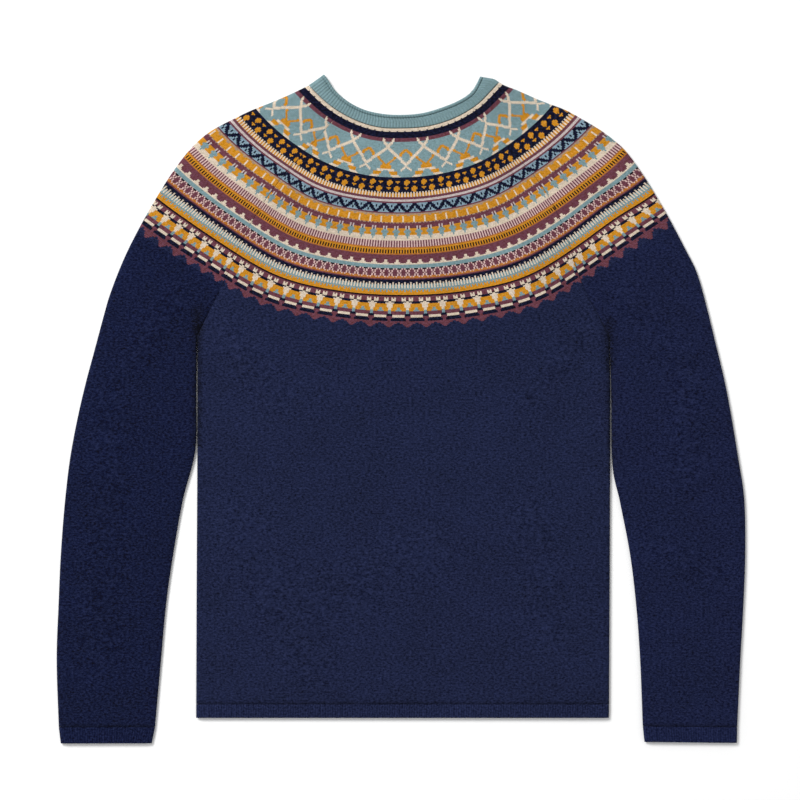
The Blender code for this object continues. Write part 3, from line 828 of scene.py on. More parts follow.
@dataclass
class YokePiece:
    """What the front, the back and the sleeves share: rows from the neck down.

    Args:
        name: Node that the piece replaces.
        slot: Material slot of the record; not used.
        left_line: Line of the piece's left edge in the yoke.
        right_line: Line of its right edge in the yoke.
        left_edge: What the left edge is.
        right_edge: What the right edge is.
        side: Which of a chart's repeats the piece takes.
        plain: Letter of the yarn below the yoke.
        flat: Width and length of the cut, in metres; not used.
        area: Flat area of the cut, in square metres; not used.
        seed: Start of the small differences between stitches.
        joining: Yarn number of the row that joins the next band on.
        inner_open: How far the seam edge of each row of the inside is open.
    """

    name: str
    slot: str
    left_line: tuple
    right_line: tuple
    left_edge: Edge
    right_edge: Edge
    side: str
    plain: str
    flat: tuple[float, float]
    area: float
    seed: int
    joining: int = field(default=0, init=False)
    inner_open: np.ndarray | None = field(default=None, init=False)

    def limits(self, centre: ArrayLike) -> tuple[np.ndarray, np.ndarray]:
        """Angles at which yoke rows start and end, clear of the seams.

        Args:
            centre: Centre radii of the rows.

        Returns:
            The start angles and the end angles.
        """
        centre = np.asarray(centre, float)
        ends = []
        for line, edge, sign in ((self.left_line, self.left_edge, 1),
                                 (self.right_line, self.right_edge, -1)):
            angle = row_end(centre, line)
            gap = SHOWN_SEAM_GAP / 2 if edge is Edge.SEAM else 0.0
            ends.append(angle + sign * np.degrees(gap / row_radius(centre, angle)))
        return ends[0], ends[1]

    def open_shares(self, opened: np.ndarray) -> tuple[np.ndarray, np.ndarray]:
        """How far the left and right edges of rows are open, where a fold never is."""
        return (opened if self.left_edge is Edge.SEAM else np.zeros_like(opened),
                opened if self.right_edge is Edge.SEAM else np.zeros_like(opened))

    @staticmethod
    def shape(from_left: np.ndarray, from_right: np.ndarray, left_open: np.ndarray,
              right_open: np.ndarray) -> tuple[np.ndarray, np.ndarray]:
        """Form of the outer surface near its two side edges.

        Args:
            from_left: Distances from the left edge.
            from_right: Distances from the right edge.
            left_open: How far the left edge is open.
            right_open: How far the right edge is open.

        Returns:
            The share of the full height, and the depth of the seams' grooves.
        """
        share = np.minimum(edge_share(from_left, left_open), edge_share(from_right, right_open))
        dip = np.maximum(seam_dip(from_left, left_open), seam_dip(from_right, right_open))
        return share, dip

    def add_outer(self, cloth: Cloth, x: np.ndarray, y: np.ndarray, share: np.ndarray,
                  dip: np.ndarray) -> np.ndarray:
        """Add points of the outer surface.

        Args:
            cloth: The shell.
            x: Places along X.
            y: Places along Y.
            share: Share of the full height.
            dip: Depth of grooves.

        Returns:
            The numbers of the points.
        """
        z = FOLD_RADIUS * (1.0 + share) - dip
        z = np.maximum(z, FOLD_RADIUS + self.fold_clearance())
        return cloth.add_points(x, y, z, lift=ridge_height(x, y) * share)

    def add_inner(self, cloth: Cloth, x: np.ndarray, y: np.ndarray,
                  opened: np.ndarray) -> np.ndarray:
        """Add points of the inside, which rises to mid height at closed folds.

        Args:
            cloth: The shell.
            x: Places along X.
            y: Places along Y.
            opened: How far the seam edges of each row are open.

        Returns:
            The numbers of the points.
        """
        z = np.full_like(x, LAID_HEIGHT - WALL)
        lift = ridge_height(x, y)
        edge_z = FOLD_RADIUS + self.fold_clearance()
        for column, edge_open in zip((0, -1), self.open_shares(opened)):
            z[:, column] += (edge_z - z[:, column]) * (1.0 - edge_open)
            lift[:, column] *= edge_open
        return cloth.add_points(x, y, z, lift=lift)

    def fold_clearance(self) -> float:
        """How far a fold stays above mid height."""
        return 0.0

    def half_stitches(self, chart: Chart) -> tuple[np.ndarray, np.ndarray]:
        """Half stitches of a band, far past the piece's edges.

        Args:
            chart: The band.

        Returns:
            Their numbers, counted from a motif's axis, and their angles.
        """
        per_stitch = chart.stitch_angle(self.side)
        reach = int(2 * YOKE_REACH / per_stitch)
        halves = np.arange(-reach, reach + 1)
        turn = halves / 2 * per_stitch
        closing = REPEAT_CLOSING if self.side == "front" else 0.0
        return halves, getattr(chart, self.side)[0] + turn * (1.0 - closing * turn ** 2)

    def lay_chart(self, layer: Layer, chart: Chart, row_number: float) -> None:
        """Knit one band of the yoke, stitch by stitch.

        Args:
            layer: The layer that the band is added to.
            chart: The band.
            row_number: Number of its first row, counted from the neck.
        """
        count = len(chart.rows)
        centres = np.linspace(chart.top, chart.bottom, count + 1)
        start, end = self.limits(centres)
        halves, angles = self.half_stitches(chart)
        # The half stitches between the seams, with one column more on each
        # side that lies on the seam itself.
        margin = CUT_STITCH * chart.stitch_angle(self.side) / 2
        inside = (angles > start[:, None] + margin) & (angles < end[:, None] - margin)
        first = inside.argmax(1)
        last = inside.shape[1] - 1 - inside[:, ::-1].argmax(1)
        low, high = first.min() - 1, last.max() + 1
        window = np.arange(low, high + 1)
        before = window[None] < first[:, None]
        after = window[None] > last[:, None]
        angle = np.where(before, start[:, None],
                         np.where(after, end[:, None], angles[window][None]))
        # The middle of a stitch hangs half a row lower than its sides.
        level = np.arange(count + 1)[:, None]
        hanging = (halves[window] % 2 == 0)[None] & (level > 0) & (level < count)
        dropped = np.where(hanging & ~before & ~after, 0.5, 0.0)
        centre = centres[:, None] + dropped * ((chart.bottom - chart.top) / count)
        radius = row_radius(centre, angle)
        x, y = np.moveaxis(yoke_place(radius, angle), -1, 0)
        share, dip = self.shape(np.radians(angle - start[:, None]) * radius,
                                np.radians(end[:, None] - angle) * radius,
                                *self.open_shares(raglan_open_share(centre)))
        ids = self.add_outer(layer.cloth, x, y, share, dip)
        kept = np.clip(np.arange(len(window))[None],
                       (first - low)[:, None] - 1, (last - low)[:, None] + 1)
        ids = np.take_along_axis(ids, kept, 1)
        stitch = np.broadcast_to(halves[window][None] / 2, ids.shape)
        stitch = np.take_along_axis(stitch, kept, 1)
        numbers = np.floor((halves[window][:-1] + 1) / 2).astype(int)
        tints = np.stack([chart.letters(n, numbers) for n in range(count)])
        layer.cloth.add_grid(ids, stitch, row_number + level + dropped, tints)
        chains = []
        for n in (0, count):
            keep = slice(first[n] - low - 1, last[n] - low + 2)
            marks = (angle[n, keep] - start[n]) / (end[n] - start[n])
            chains.append(Chain(ids[n, keep], marks, stitch[n, keep], row_number + n))
        layer.follow(chains[0], chains[1], ids, self.joining)
        self.joining = YARN_INDEX[chart.below if chart.below != "N" else self.plain]

    def yoke_rows(self, centres: np.ndarray) -> np.ndarray:
        """Paths of yoke rows, with their points at even distances.

        Args:
            centres: Centre radii of the rows.

        Returns:
            The points of each path.
        """
        start, end = self.limits(centres)
        shares = np.linspace(0.0, 1.0, PATH_POINTS)
        angle = start[:, None] + (end - start)[:, None] * shares
        paths = yoke_place(row_radius(centres[:, None], angle), angle)
        travelled = path_lengths(paths)
        return np.stack(along_paths(paths, travelled, shares * travelled[:, -1:]), -1)

    def lower_rows(self, step: float) -> np.ndarray:
        """Paths of the rows below the underarm.

        Args:
            step: Distance between two rows.

        Returns:
            The points of each path, at even distances.
        """
        raise NotImplementedError

    def plain_rows(self, top: float, step: float) -> tuple[np.ndarray, np.ndarray]:
        """Paths of plain rows from a row of the yoke down to the last one.

        Args:
            top: Centre radius of the first row.
            step: Distance between two rows.

        Returns:
            The points of each path, and how far each row's seam edge is open.
        """
        steps = int(round((UNDERARM - top) / step))
        centres = np.linspace(top, UNDERARM, steps + 1)
        below = self.lower_rows(step)[1:]
        return (np.concatenate([self.yoke_rows(centres), below]),
                np.concatenate([raglan_open_share(centres), np.zeros(len(below))]))

    @staticmethod
    def columns(lengths: np.ndarray, outer: bool) -> np.ndarray:
        """Distances of a grid's columns along rows of different lengths.

        Args:
            lengths: Length of each row.
            outer: Whether this is the outer surface or the inside.

        Returns:
            The distances, row by row, with even steps between the two folds.
        """
        middle = float(np.median(lengths))
        pattern = column_distances(middle, CLOTH_STEP if outer else INSIDE_STEP,
                                   5 if outer else 1)
        starting = pattern < middle / 2
        near = np.minimum(np.where(starting, pattern, middle - pattern), FOLD_RADIUS)
        shares = (pattern - FOLD_RADIUS) / (middle - 2 * FOLD_RADIUS)
        wanted = FOLD_RADIUS + shares[None] * (lengths[:, None] - 2 * FOLD_RADIUS)
        by_edge = np.where(starting[None], near[None], lengths[:, None] - near[None])
        return np.where(near[None] < FOLD_RADIUS, by_edge, wanted)

    def lay_plain(self, layer: Layer, paths: np.ndarray, opened: np.ndarray,
                  row_number: float, outer: bool) -> None:
        """Lay plain rows over paths across the piece.

        Args:
            layer: The layer that the rows are added to.
            paths: Points of each row.
            opened: How far the seam edges of each row are open.
            row_number: Knit row of the first path.
            outer: Whether this is the outer surface or the inside.
        """
        travelled = path_lengths(paths)
        lengths = travelled[:, -1]
        wanted = self.columns(lengths, outer)
        left_open, right_open = self.open_shares(opened)
        if not outer:
            wanted[:, 0] = INNER_FOLD * (1.0 - left_open)
            wanted[:, -1] = lengths - INNER_FOLD * (1.0 - right_open)
        x, y = along_paths(paths, travelled, wanted)
        centre_line = paths[:, paths.shape[1] // 2]
        if outer:
            share, dip = self.shape(wanted, lengths[:, None] - wanted,
                                    left_open[:, None], right_open[:, None])
            # The last rows dip to where a ribbed edge is knitted on.
            to_end = np.linalg.norm(centre_line - centre_line[-1], axis=1)
            tail = seam_dip(to_end, 1.0)[:, None]
            ids = self.add_outer(layer.cloth, x, y, share, np.maximum(dip, tail * share))
        else:
            ids = self.add_inner(layer.cloth, x, y, opened)
        row_steps = np.linalg.norm(np.diff(centre_line, axis=0), axis=1)
        rows = row_number + np.concatenate([[0.0], np.cumsum(row_steps)]) / STITCH_HEIGHT
        stitch = (wanted - lengths[:, None] / 2) / STITCH_WIDTH
        layer.cloth.add_grid(ids, stitch, rows[:, None], YARN_INDEX[self.plain])
        chains = [Chain(ids[n], wanted[n] / lengths[n], stitch[n], float(rows[n]))
                  for n in (0, -1)]
        layer.follow(chains[0], chains[1], ids, YARN_INDEX[self.plain])

    def build_layers(self, cloth: Cloth) -> tuple[Layer, Layer, np.ndarray]:
        """Build the outer and the inner surface of the upper layer.

        Args:
            cloth: The shell that they are added to.

        Returns:
            The outer layer, the inner layer and how far each outer row's seam
            edge is open.
        """
        outer = Layer(cloth)
        self.joining = YARN_INDEX[self.plain]
        row_number = 0.0
        opened = []
        for chart in CHARTS:
            self.lay_chart(outer, chart, row_number)
            row_number += len(chart.rows) + 1
            opened.append(np.ones(len(chart.rows) + 1))
        paths, shares = self.plain_rows(YOKE_BOTTOM, CLOTH_STEP)
        self.lay_plain(outer, paths, shares, row_number, True)
        opened.append(shares)
        inner = Layer(cloth)
        paths, self.inner_open = self.plain_rows(YOKE_TOP, INSIDE_STEP)
        self.lay_plain(inner, paths, self.inner_open, 0.0, False)
        return outer, inner, np.concatenate(opened)

    def close_ends(self, cloth: Cloth, outer: Layer, inner: Layer) -> None:
        """Join the outer and the inner surface at the neck and at the bottom."""
        cloth.zip_chains(outer.first, inner.first, YARN_INDEX[Yarn.CREAM.letter])
        cloth.zip_chains(outer.last, inner.last, YARN_INDEX[self.plain])

    def dress(self, piece: bpy.types.Object, material: bpy.types.Material,
              rests_on: list[bpy.types.Object]) -> None:
        """Give the piece its cloth and its place on the frame.

        Args:
            piece: The piece.
            material: Its cloth.
            rests_on: What it lies on; not used.
        """
        put_on_frame(piece, material, self.name)


def put_on_frame(piece: bpy.types.Object, material: bpy.types.Material, node: str) -> None:
    """Give a piece its cloth, hide the node that it replaces, put it on the frame and report it.

    Args:
        piece: The piece.
        material: Its cloth.
        node: Node that it replaces.
    """
    piece.data.materials.append(material)
    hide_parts(node)
    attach(piece, BODY)
    log.info("%s: %d faces", piece.name, len(piece.data.polygons))


def edge_strip(cloth: Cloth, outer: Layer, inner: Layer, side: str,
               outer_open: np.ndarray, inner_open: np.ndarray, tint: int) -> tuple:
    """Join the surfaces along a raglan edge, as far down as it is open.

    Args:
        cloth: The shell.
        outer: Outer surface.
        inner: Inner surface.
        side: "left" or "right".
        outer_open: How far each outer row is open, down to 0.
        inner_open: How far each inner row is open, down to 0.
        tint: Yarn of the strip.

    Returns:
        Edge points of the rows that are closed folds, outer then inner.
    """
    outer_ids = np.array(getattr(outer, side))
    inner_ids = np.array(getattr(inner, side))
    outer_last = int(np.argmax(outer_open <= 0.0))
    inner_last = int(np.argmax(inner_open <= 0.0))
    cloth.zip_chains(plain_chain(outer_ids[:outer_last + 1]),
                     plain_chain(inner_ids[:inner_last + 1]), tint)
    return outer_ids[outer_last:], inner_ids[inner_last:]


@dataclass
class Panel(YokePiece):
    """Front or back of the body, from the neckband down to the hem.

    Args:
        upper: Whether it is the upper layer, which is the front.
    """

    upper: bool = True

    def fold_clearance(self) -> float:
        """Half the gap between the front and the back at a side fold."""
        return SEAM_GAP / 2

    def lower_rows(self, step: float) -> np.ndarray:
        """Rows of the body, which lose the yoke's sag towards the hem.

        Args:
            step: Distance between two rows.

        Returns:
            The points of each row, at even distances.
        """
        steps = int(round((BODY_TOP - BODY_BOTTOM) / step))
        heights = np.linspace(BODY_TOP, BODY_BOTTOM, steps + 1)
        left, right = body_sides(heights)
        underarm = self.yoke_rows(np.array([UNDERARM]))[0]
        sag = smoothstep((heights - ROW_SAG_ENDS) / (BODY_TOP - ROW_SAG_ENDS))
        shares = np.linspace(0.0, 1.0, PATH_POINTS)
        x = left[:, None] + (right - left)[:, None] * shares
        y = heights[:, None] + (underarm[None, :, 1] - BODY_TOP) * sag[:, None]
        return np.stack([x, y], -1)

    def build(self) -> bpy.types.Object:
        """Build the panel's shell.

        Returns:
            The panel.
        """
        cloth = Cloth()
        outer, inner, _ = self.build_layers(cloth)
        self.close_ends(cloth, outer, inner)
        tint = YARN_INDEX[self.plain]
        for side in ("left", "right"):
            cloth.zip_chains(plain_chain(getattr(outer, side)),
                             plain_chain(getattr(inner, side)), tint)
        if not self.upper:
            cloth.turn_under()
        return cloth.make_object(self.name + "_knit", self.seed)


@dataclass
class Sleeve(YokePiece):
    """Sleeve: a flattened tube, open along the raglan seams above the underarm.

    Args:
        table: Inner and outer fold of the arm, from the underarm down.
    """

    table: tuple = ()

    def lower_rows(self, step: float) -> np.ndarray:
        """Rows of the arm, which lose the yoke's bow towards the cuff.

        Args:
            step: Distance between two rows.

        Returns:
            The points of each row, at even distances.
        """
        table = np.array(self.table)
        if self.left_edge is Edge.FOLD:
            table = table[:, [2, 3, 0, 1]]
        travelled = path_lengths((table[:, :2] + table[:, 2:]) / 2)
        steps = int(round(travelled[-1] / step))
        keys = np.arange(len(table))
        places = np.interp(np.linspace(0.0, travelled[-1], steps + 1), travelled, keys)
        ends = np.stack([smooth_curve(keys, column, places) for column in table.T], -1)
        start, end = ends[:, None, :2], ends[:, None, 2:]
        shares = np.linspace(0.0, 1.0, PATH_POINTS)[:, None]
        underarm = self.yoke_rows(np.array([UNDERARM]))[0]
        chord = underarm[0] + (underarm[-1] - underarm[0]) * shares
        bow = smoothstep(1.0 - places / ARM_BOW_ENDS)[:, None, None]
        paths = start + (end - start) * shares + (underarm - chord) * bow
        easing = smoothstep(1.0 - places / UNDERARM_EASING_ENDS)[:, None, None]
        return paths + (underarm - paths[0]) * easing

    def build(self) -> bpy.types.Object:
        """Build the sleeve's shell.

        Returns:
            The sleeve.
        """
        cloth = Cloth()
        outer, inner, opened = self.build_layers(cloth)
        self.close_ends(cloth, outer, inner)
        seam = "left" if self.left_edge is Edge.SEAM else "right"
        fold = "right" if seam == "left" else "left"
        closed_outer, closed_inner = edge_strip(cloth, outer, inner, seam, opened,
                                                self.inner_open, YARN_INDEX[self.plain])
        shared = np.concatenate([closed_outer, closed_inner,
                                 getattr(outer, fold), getattr(inner, fold)])
        cloth.mirror(shared.astype(int))
        return cloth.make_object(self.name + "_knit", self.seed)


@dataclass(frozen=True)
class RibPlan:
    """Ribs of a neckband, hem or cuff.

    Args:
        pitch: Distance between two ribs.
        peak: Height of a rib over the plain cloth.
        valley: Height of the hollow between two ribs, below it.
        points: Points across one rib.
    """

    pitch: float
    peak: float = 0.25
    valley: float = -0.4
    points: int = 8

    def relief(self, distance: np.ndarray) -> np.ndarray:
        """Height of the ribs at distances along the edge."""
        wave = 0.5 + 0.5 * np.cos(2 * np.pi * distance / self.pitch)
        return self.valley + (self.peak - self.valley) * wave ** 0.8


@dataclass
class RibbedEdge:
    """What the hems, cuffs and the neckband share.

    Args:
        name: Node that the piece replaces.
        slot: Material slot of the record; not used.
        ribs: Ribs of the piece.
        letter: Letter of its yarn.
        flat: Width and length of the cut, in metres; not used.
        seed: Start of the small differences between stitches.
        looped: Whether the lower layer belongs to the same piece.
        upper: Whether a piece of one layer is the upper one.
    """

    name: str
    slot: str
    ribs: RibPlan
    letter: str
    flat: tuple[float, float]
    seed: int
    looped: bool = True
    upper: bool = True

    @property
    def clearance(self) -> float:
        """How far a fold stays above mid height."""
        return 0.0 if self.looped else SEAM_GAP / 2

    def paths(self) -> tuple[np.ndarray, np.ndarray, np.ndarray]:
        """Paths of the rows, their height over the wall and their knit rows."""
        raise NotImplementedError

    def add_ribs(self, cloth: Cloth, x: np.ndarray, y: np.ndarray, share: np.ndarray,
                 relief: np.ndarray) -> np.ndarray:
        """Add the points of the ribbed outer surface.

        Args:
            cloth: The shell.
            x: Places along X.
            y: Places along Y.
            share: Share of the full height.
            relief: Height of the ribs over the wall.

        Returns:
            The numbers of the points.
        """
        z = np.maximum(FOLD_RADIUS * (1.0 + share), FOLD_RADIUS + self.clearance)
        eased = smoothstep(share)
        return cloth.add_points(x, y, z, lift=(relief + ridge_height(x, y)) * eased,
                                sink=(float(relief.max()) - relief) * eased)

    def add_inside(self, cloth: Cloth, x: np.ndarray, y: np.ndarray) -> np.ndarray:
        """Add the points of the plain inside.

        Args:
            cloth: The shell.
            x: Places along X.
            y: Places along Y.

        Returns:
            The numbers of the points.
        """
        z = np.full_like(x, LAID_HEIGHT - WALL)
        z[:, [0, -1]] = FOLD_RADIUS + self.clearance
        lift = ridge_height(x, y)
        lift[:, [0, -1]] = 0.0
        return cloth.add_points(x, y, z, lift=lift)

    def build(self) -> bpy.types.Object:
        """Build the ribbed shell.

        Returns:
            The ribbed edge.
        """
        cloth = Cloth()
        tint = YARN_INDEX[self.letter]
        paths, heights, rows = self.paths()
        travelled = path_lengths(paths)
        lengths = travelled[:, -1]
        middle = float(np.median(lengths))
        count = max(int(round(middle / self.ribs.pitch)), 2)
        shares = np.linspace(0.0, 1.0, count * self.ribs.points + 1)
        wanted = shares[None] * lengths[:, None]
        x, y = along_paths(paths, travelled, wanted)
        share = np.minimum(edge_share(wanted, 0.0), edge_share(lengths[:, None] - wanted, 0.0))
        relief = self.ribs.relief(shares * count * self.ribs.pitch)[None] + heights[:, None]
        ids = self.add_ribs(cloth, x, y, share, relief)
        stitch = np.broadcast_to(shares * count * 2, ids.shape)
        cloth.add_grid(ids, stitch, rows[:, None], tint)
        # The inside is one strip between the first row and the last one.
        picks = [0, len(paths) - 1]
        inner_shares = np.linspace(0.0, 1.0, max(int(middle / RIB_INSIDE_STEP), 6) + 1)
        wanted = INNER_FOLD + inner_shares[None] * (lengths[picks, None] - 2 * INNER_FOLD)
        x, y = along_paths(paths[picks], travelled[picks], wanted)
        inner_ids = self.add_inside(cloth, x, y)
        inner_stitch = inner_shares * count * 2
        cloth.add_grid(inner_ids, inner_stitch[None], np.array([[0.0], [RIB_INSIDE_ROWS]]), tint)
        for pick, n in enumerate(picks):
            cloth.zip_chains(Chain(ids[n], shares, stitch[n], 0.0),
                             Chain(inner_ids[pick], inner_shares, inner_stitch, 2.0), tint)
        if self.looped:
            cloth.mirror(np.concatenate([ids[:, 0], ids[:, -1],
                                         inner_ids[:, 0], inner_ids[:, -1]]))
        else:
            for side in (0, -1):
                cloth.zip_chains(plain_chain(ids[:, side]), plain_chain(inner_ids[:, side]),
                                 tint)
            if not self.upper:
                cloth.turn_under()
        return cloth.make_object(self.name + "_rib", self.seed)

    def dress(self, piece: bpy.types.Object, material: bpy.types.Material,
              rests_on: list[bpy.types.Object]) -> None:
        """Give the piece its cloth and its place on the frame.

        Args:
            piece: The piece.
            material: Its cloth.
            rests_on: What it lies on; not used.
        """
        put_on_frame(piece, material, self.name)


# Heights over the wall near the ends of a ribbed edge, by distance from the end.
EDGE_ROUNDING = ((0.0, -0.9), (0.25, -0.45), (0.7, -0.12), (1.3, 0.0))


def rounded_rows(depth: float, steps: int) -> tuple[np.ndarray, np.ndarray]:
    """Rows of ribs that are rounded at both ends.

    Args:
        depth: Length of the ribs.
        steps: Rows between the rounded ends, with their own last ones.

    Returns:
        Distances of the rows from the foot, and their heights over the wall.
    """
    inset, drop = np.array(EDGE_ROUNDING).T
    middle = np.linspace(inset[-1], depth - inset[-1], steps)[1:-1]
    return (np.concatenate([inset, middle, depth - inset[::-1]]),
            np.concatenate([drop, np.zeros(len(middle)), drop[::-1]]))


@dataclass
class Hem(RibbedEdge):
    """Ribbed hem of the front or of the back."""

    def paths(self) -> tuple[np.ndarray, np.ndarray, np.ndarray]:
        """Straight rows from the body down to the lower edge.

        Returns:
            The rows, their height over the wall and their knit rows.
        """
        top = BODY_BOTTOM - SEAM_GAP
        distances, heights = rounded_rows(top - HEM_BOTTOM, 9)
        left, right = body_sides(top - distances)
        shares = np.linspace(0.0, 1.0, STRAIGHT_POINTS)
        x = left[:, None] + (right - left)[:, None] * shares
        y = np.broadcast_to((top - distances)[:, None], x.shape)
        return np.stack([x, y], -1), heights, distances / STITCH_HEIGHT


@dataclass
class Cuff(RibbedEdge):
    """Ribbed cuff at the end of a sleeve.

    Args:
        table: Corners of its foot and of its edge.
    """

    table: tuple = ()

    def paths(self) -> tuple[np.ndarray, np.ndarray, np.ndarray]:
        """Straight rows from the sleeve down to the cuff's edge.

        Returns:
            The rows, their height over the wall and their knit rows.
        """
        foot, edge = np.array(self.table).reshape(2, 2, 2)
        depth = float(np.linalg.norm(edge.mean(0) - foot.mean(0)))
        distances, heights = rounded_rows(depth, 10)
        sides = foot + (edge - foot) * (distances / depth)[:, None, None]
        sides = sides[:, np.argsort(foot[:, 0])]
        shares = np.linspace(0.0, 1.0, STRAIGHT_POINTS)
        paths = sides[:, :1] + (sides[:, 1:] - sides[:, :1]) * shares[None, :, None]
        return paths, heights, distances / STITCH_HEIGHT


# Roll of the neckband's edge: distance from the rim and height over the wall.
NECK_ROLL = ((0.0, -0.9), (0.25, -0.3), (0.6, 0.25), (1.1, 0.5), (1.7, 0.6), (2.3, 0.5),
             (2.8, 0.2), (3.1, -0.7), (3.35, -1.3), (3.6, -1.3), (3.9, -0.5), (4.4, 0.0))


@dataclass
class Neckband(RibbedEdge):
    """Ribbed neckband with a rolled edge, flattened round the neck opening."""

    def paths(self) -> tuple[np.ndarray, np.ndarray, np.ndarray]:
        """Rows from the foot on the yoke to the rim.

        Returns:
            The rows, their height over the wall and their knit rows.
        """
        inset, rise = np.array(NECK_ROLL)[::-1].T
        foot_inset, foot_drop = np.array(EDGE_ROUNDING).T
        middle = np.linspace(foot_inset[-1], NECKBAND_DEPTH - inset[0], 7)[1:-1]
        from_foot = np.concatenate([foot_inset, middle])
        heights = np.concatenate([foot_drop, np.zeros(len(middle)), rise])
        rows = [self.row(False, -distance) for distance in from_foot]
        rows += [self.row(True, distance) for distance in inset]
        marks = np.concatenate([from_foot, NECKBAND_DEPTH - inset]) / STITCH_HEIGHT
        return np.stack(rows), heights, marks

    @staticmethod
    def row(by_rim: bool, shift: float) -> np.ndarray:
        """Path of one row, from shoulder to shoulder.

        Args:
            by_rim: Whether the row follows the rim or the foot.
            shift: How much larger its radius is than there.

        Returns:
            The points of the path.
        """
        def radius(angle: ArrayLike) -> np.ndarray:
            """Radius of the row at angles."""
            if by_rim:
                return smooth_curve(*zip(*NECK_RIM), angle) + shift
            return row_radius(NECKBAND_FOOT, angle) + shift

        ends = []
        for shoulder in (RIGHT_SHOULDER, LEFT_SHOULDER):
            radii, angles = zip(*shoulder)
            angle = float(angles[1])
            for _ in range(SETTLING_ROUNDS):
                angle = float(smooth_curve(radii, angles, radius(angle)))
            ends.append(angle)
        fine = np.linspace(ends[0], ends[1], PATH_POINTS)
        return yoke_place(radius(fine), fine)


class NodeBench:
    """Short helper that adds nodes to a tree and joins them."""

    def __init__(self, tree: bpy.types.NodeTree) -> None:
        """Work on one node tree."""
        self.tree = tree

    def add(self, kind: str, settings: dict | None = None, **inputs) -> bpy.types.Node:
        """Add a node, set its properties and join or fill its inputs.

        Args:
            kind: Blender's name of the node type.
            settings: Properties of the node.
            **inputs: Values or sockets, by input name with _ for a space.

        Returns:
            The node.
        """
        node = self.tree.nodes.new(kind)
        for key, value in (settings or {}).items():
            setattr(node, key, value)
        for key, value in inputs.items():
            self.feed(node.inputs[key.replace("_", " ")], value)
        return node

    def feed(self, socket: bpy.types.NodeSocket,
             value: float | bpy.types.NodeSocket | bpy.types.NodeTree) -> None:
        """Join a socket to another, or give it a plain value.

        Args:
            socket: The input.
            value: What it gets.
        """
        if isinstance(value, bpy.types.NodeSocket):
            self.tree.links.new(value, socket)
        else:
            socket.default_value = value

    def math(self, operation: str, first: float | bpy.types.NodeSocket,
             second: float | bpy.types.NodeSocket = 0.0) -> bpy.types.NodeSocket:
        """Add a Math node.

        Args:
            operation: Blender's name of what it does.
            first: First value or socket.
            second: Second value or socket.

        Returns:
            The socket of its result.
        """
        node = self.add("ShaderNodeMath", {"operation": operation})
        for socket, value in zip(node.inputs, (first, second)):
            self.feed(socket, value)
        return node.outputs[0]

    def ramp(self, value: bpy.types.NodeSocket, low: float, high: float, out_low: float,
             out_high: float) -> bpy.types.NodeSocket:
        """Map a value from one range to another, held at its ends.

        Args:
            value: Socket of the value.
            low: Value that gives out_low.
            high: Value that gives out_high.
            out_low: Result at low.
            out_high: Result at high.

        Returns:
            The socket of the result.
        """
        node = self.tree.nodes.new("ShaderNodeMapRange")
        for name, given in (("Value", value), ("From Min", low), ("From Max", high),
                            ("To Min", out_low), ("To Max", out_high)):
            self.feed(node.inputs[name], given)
        return node.outputs["Result"]


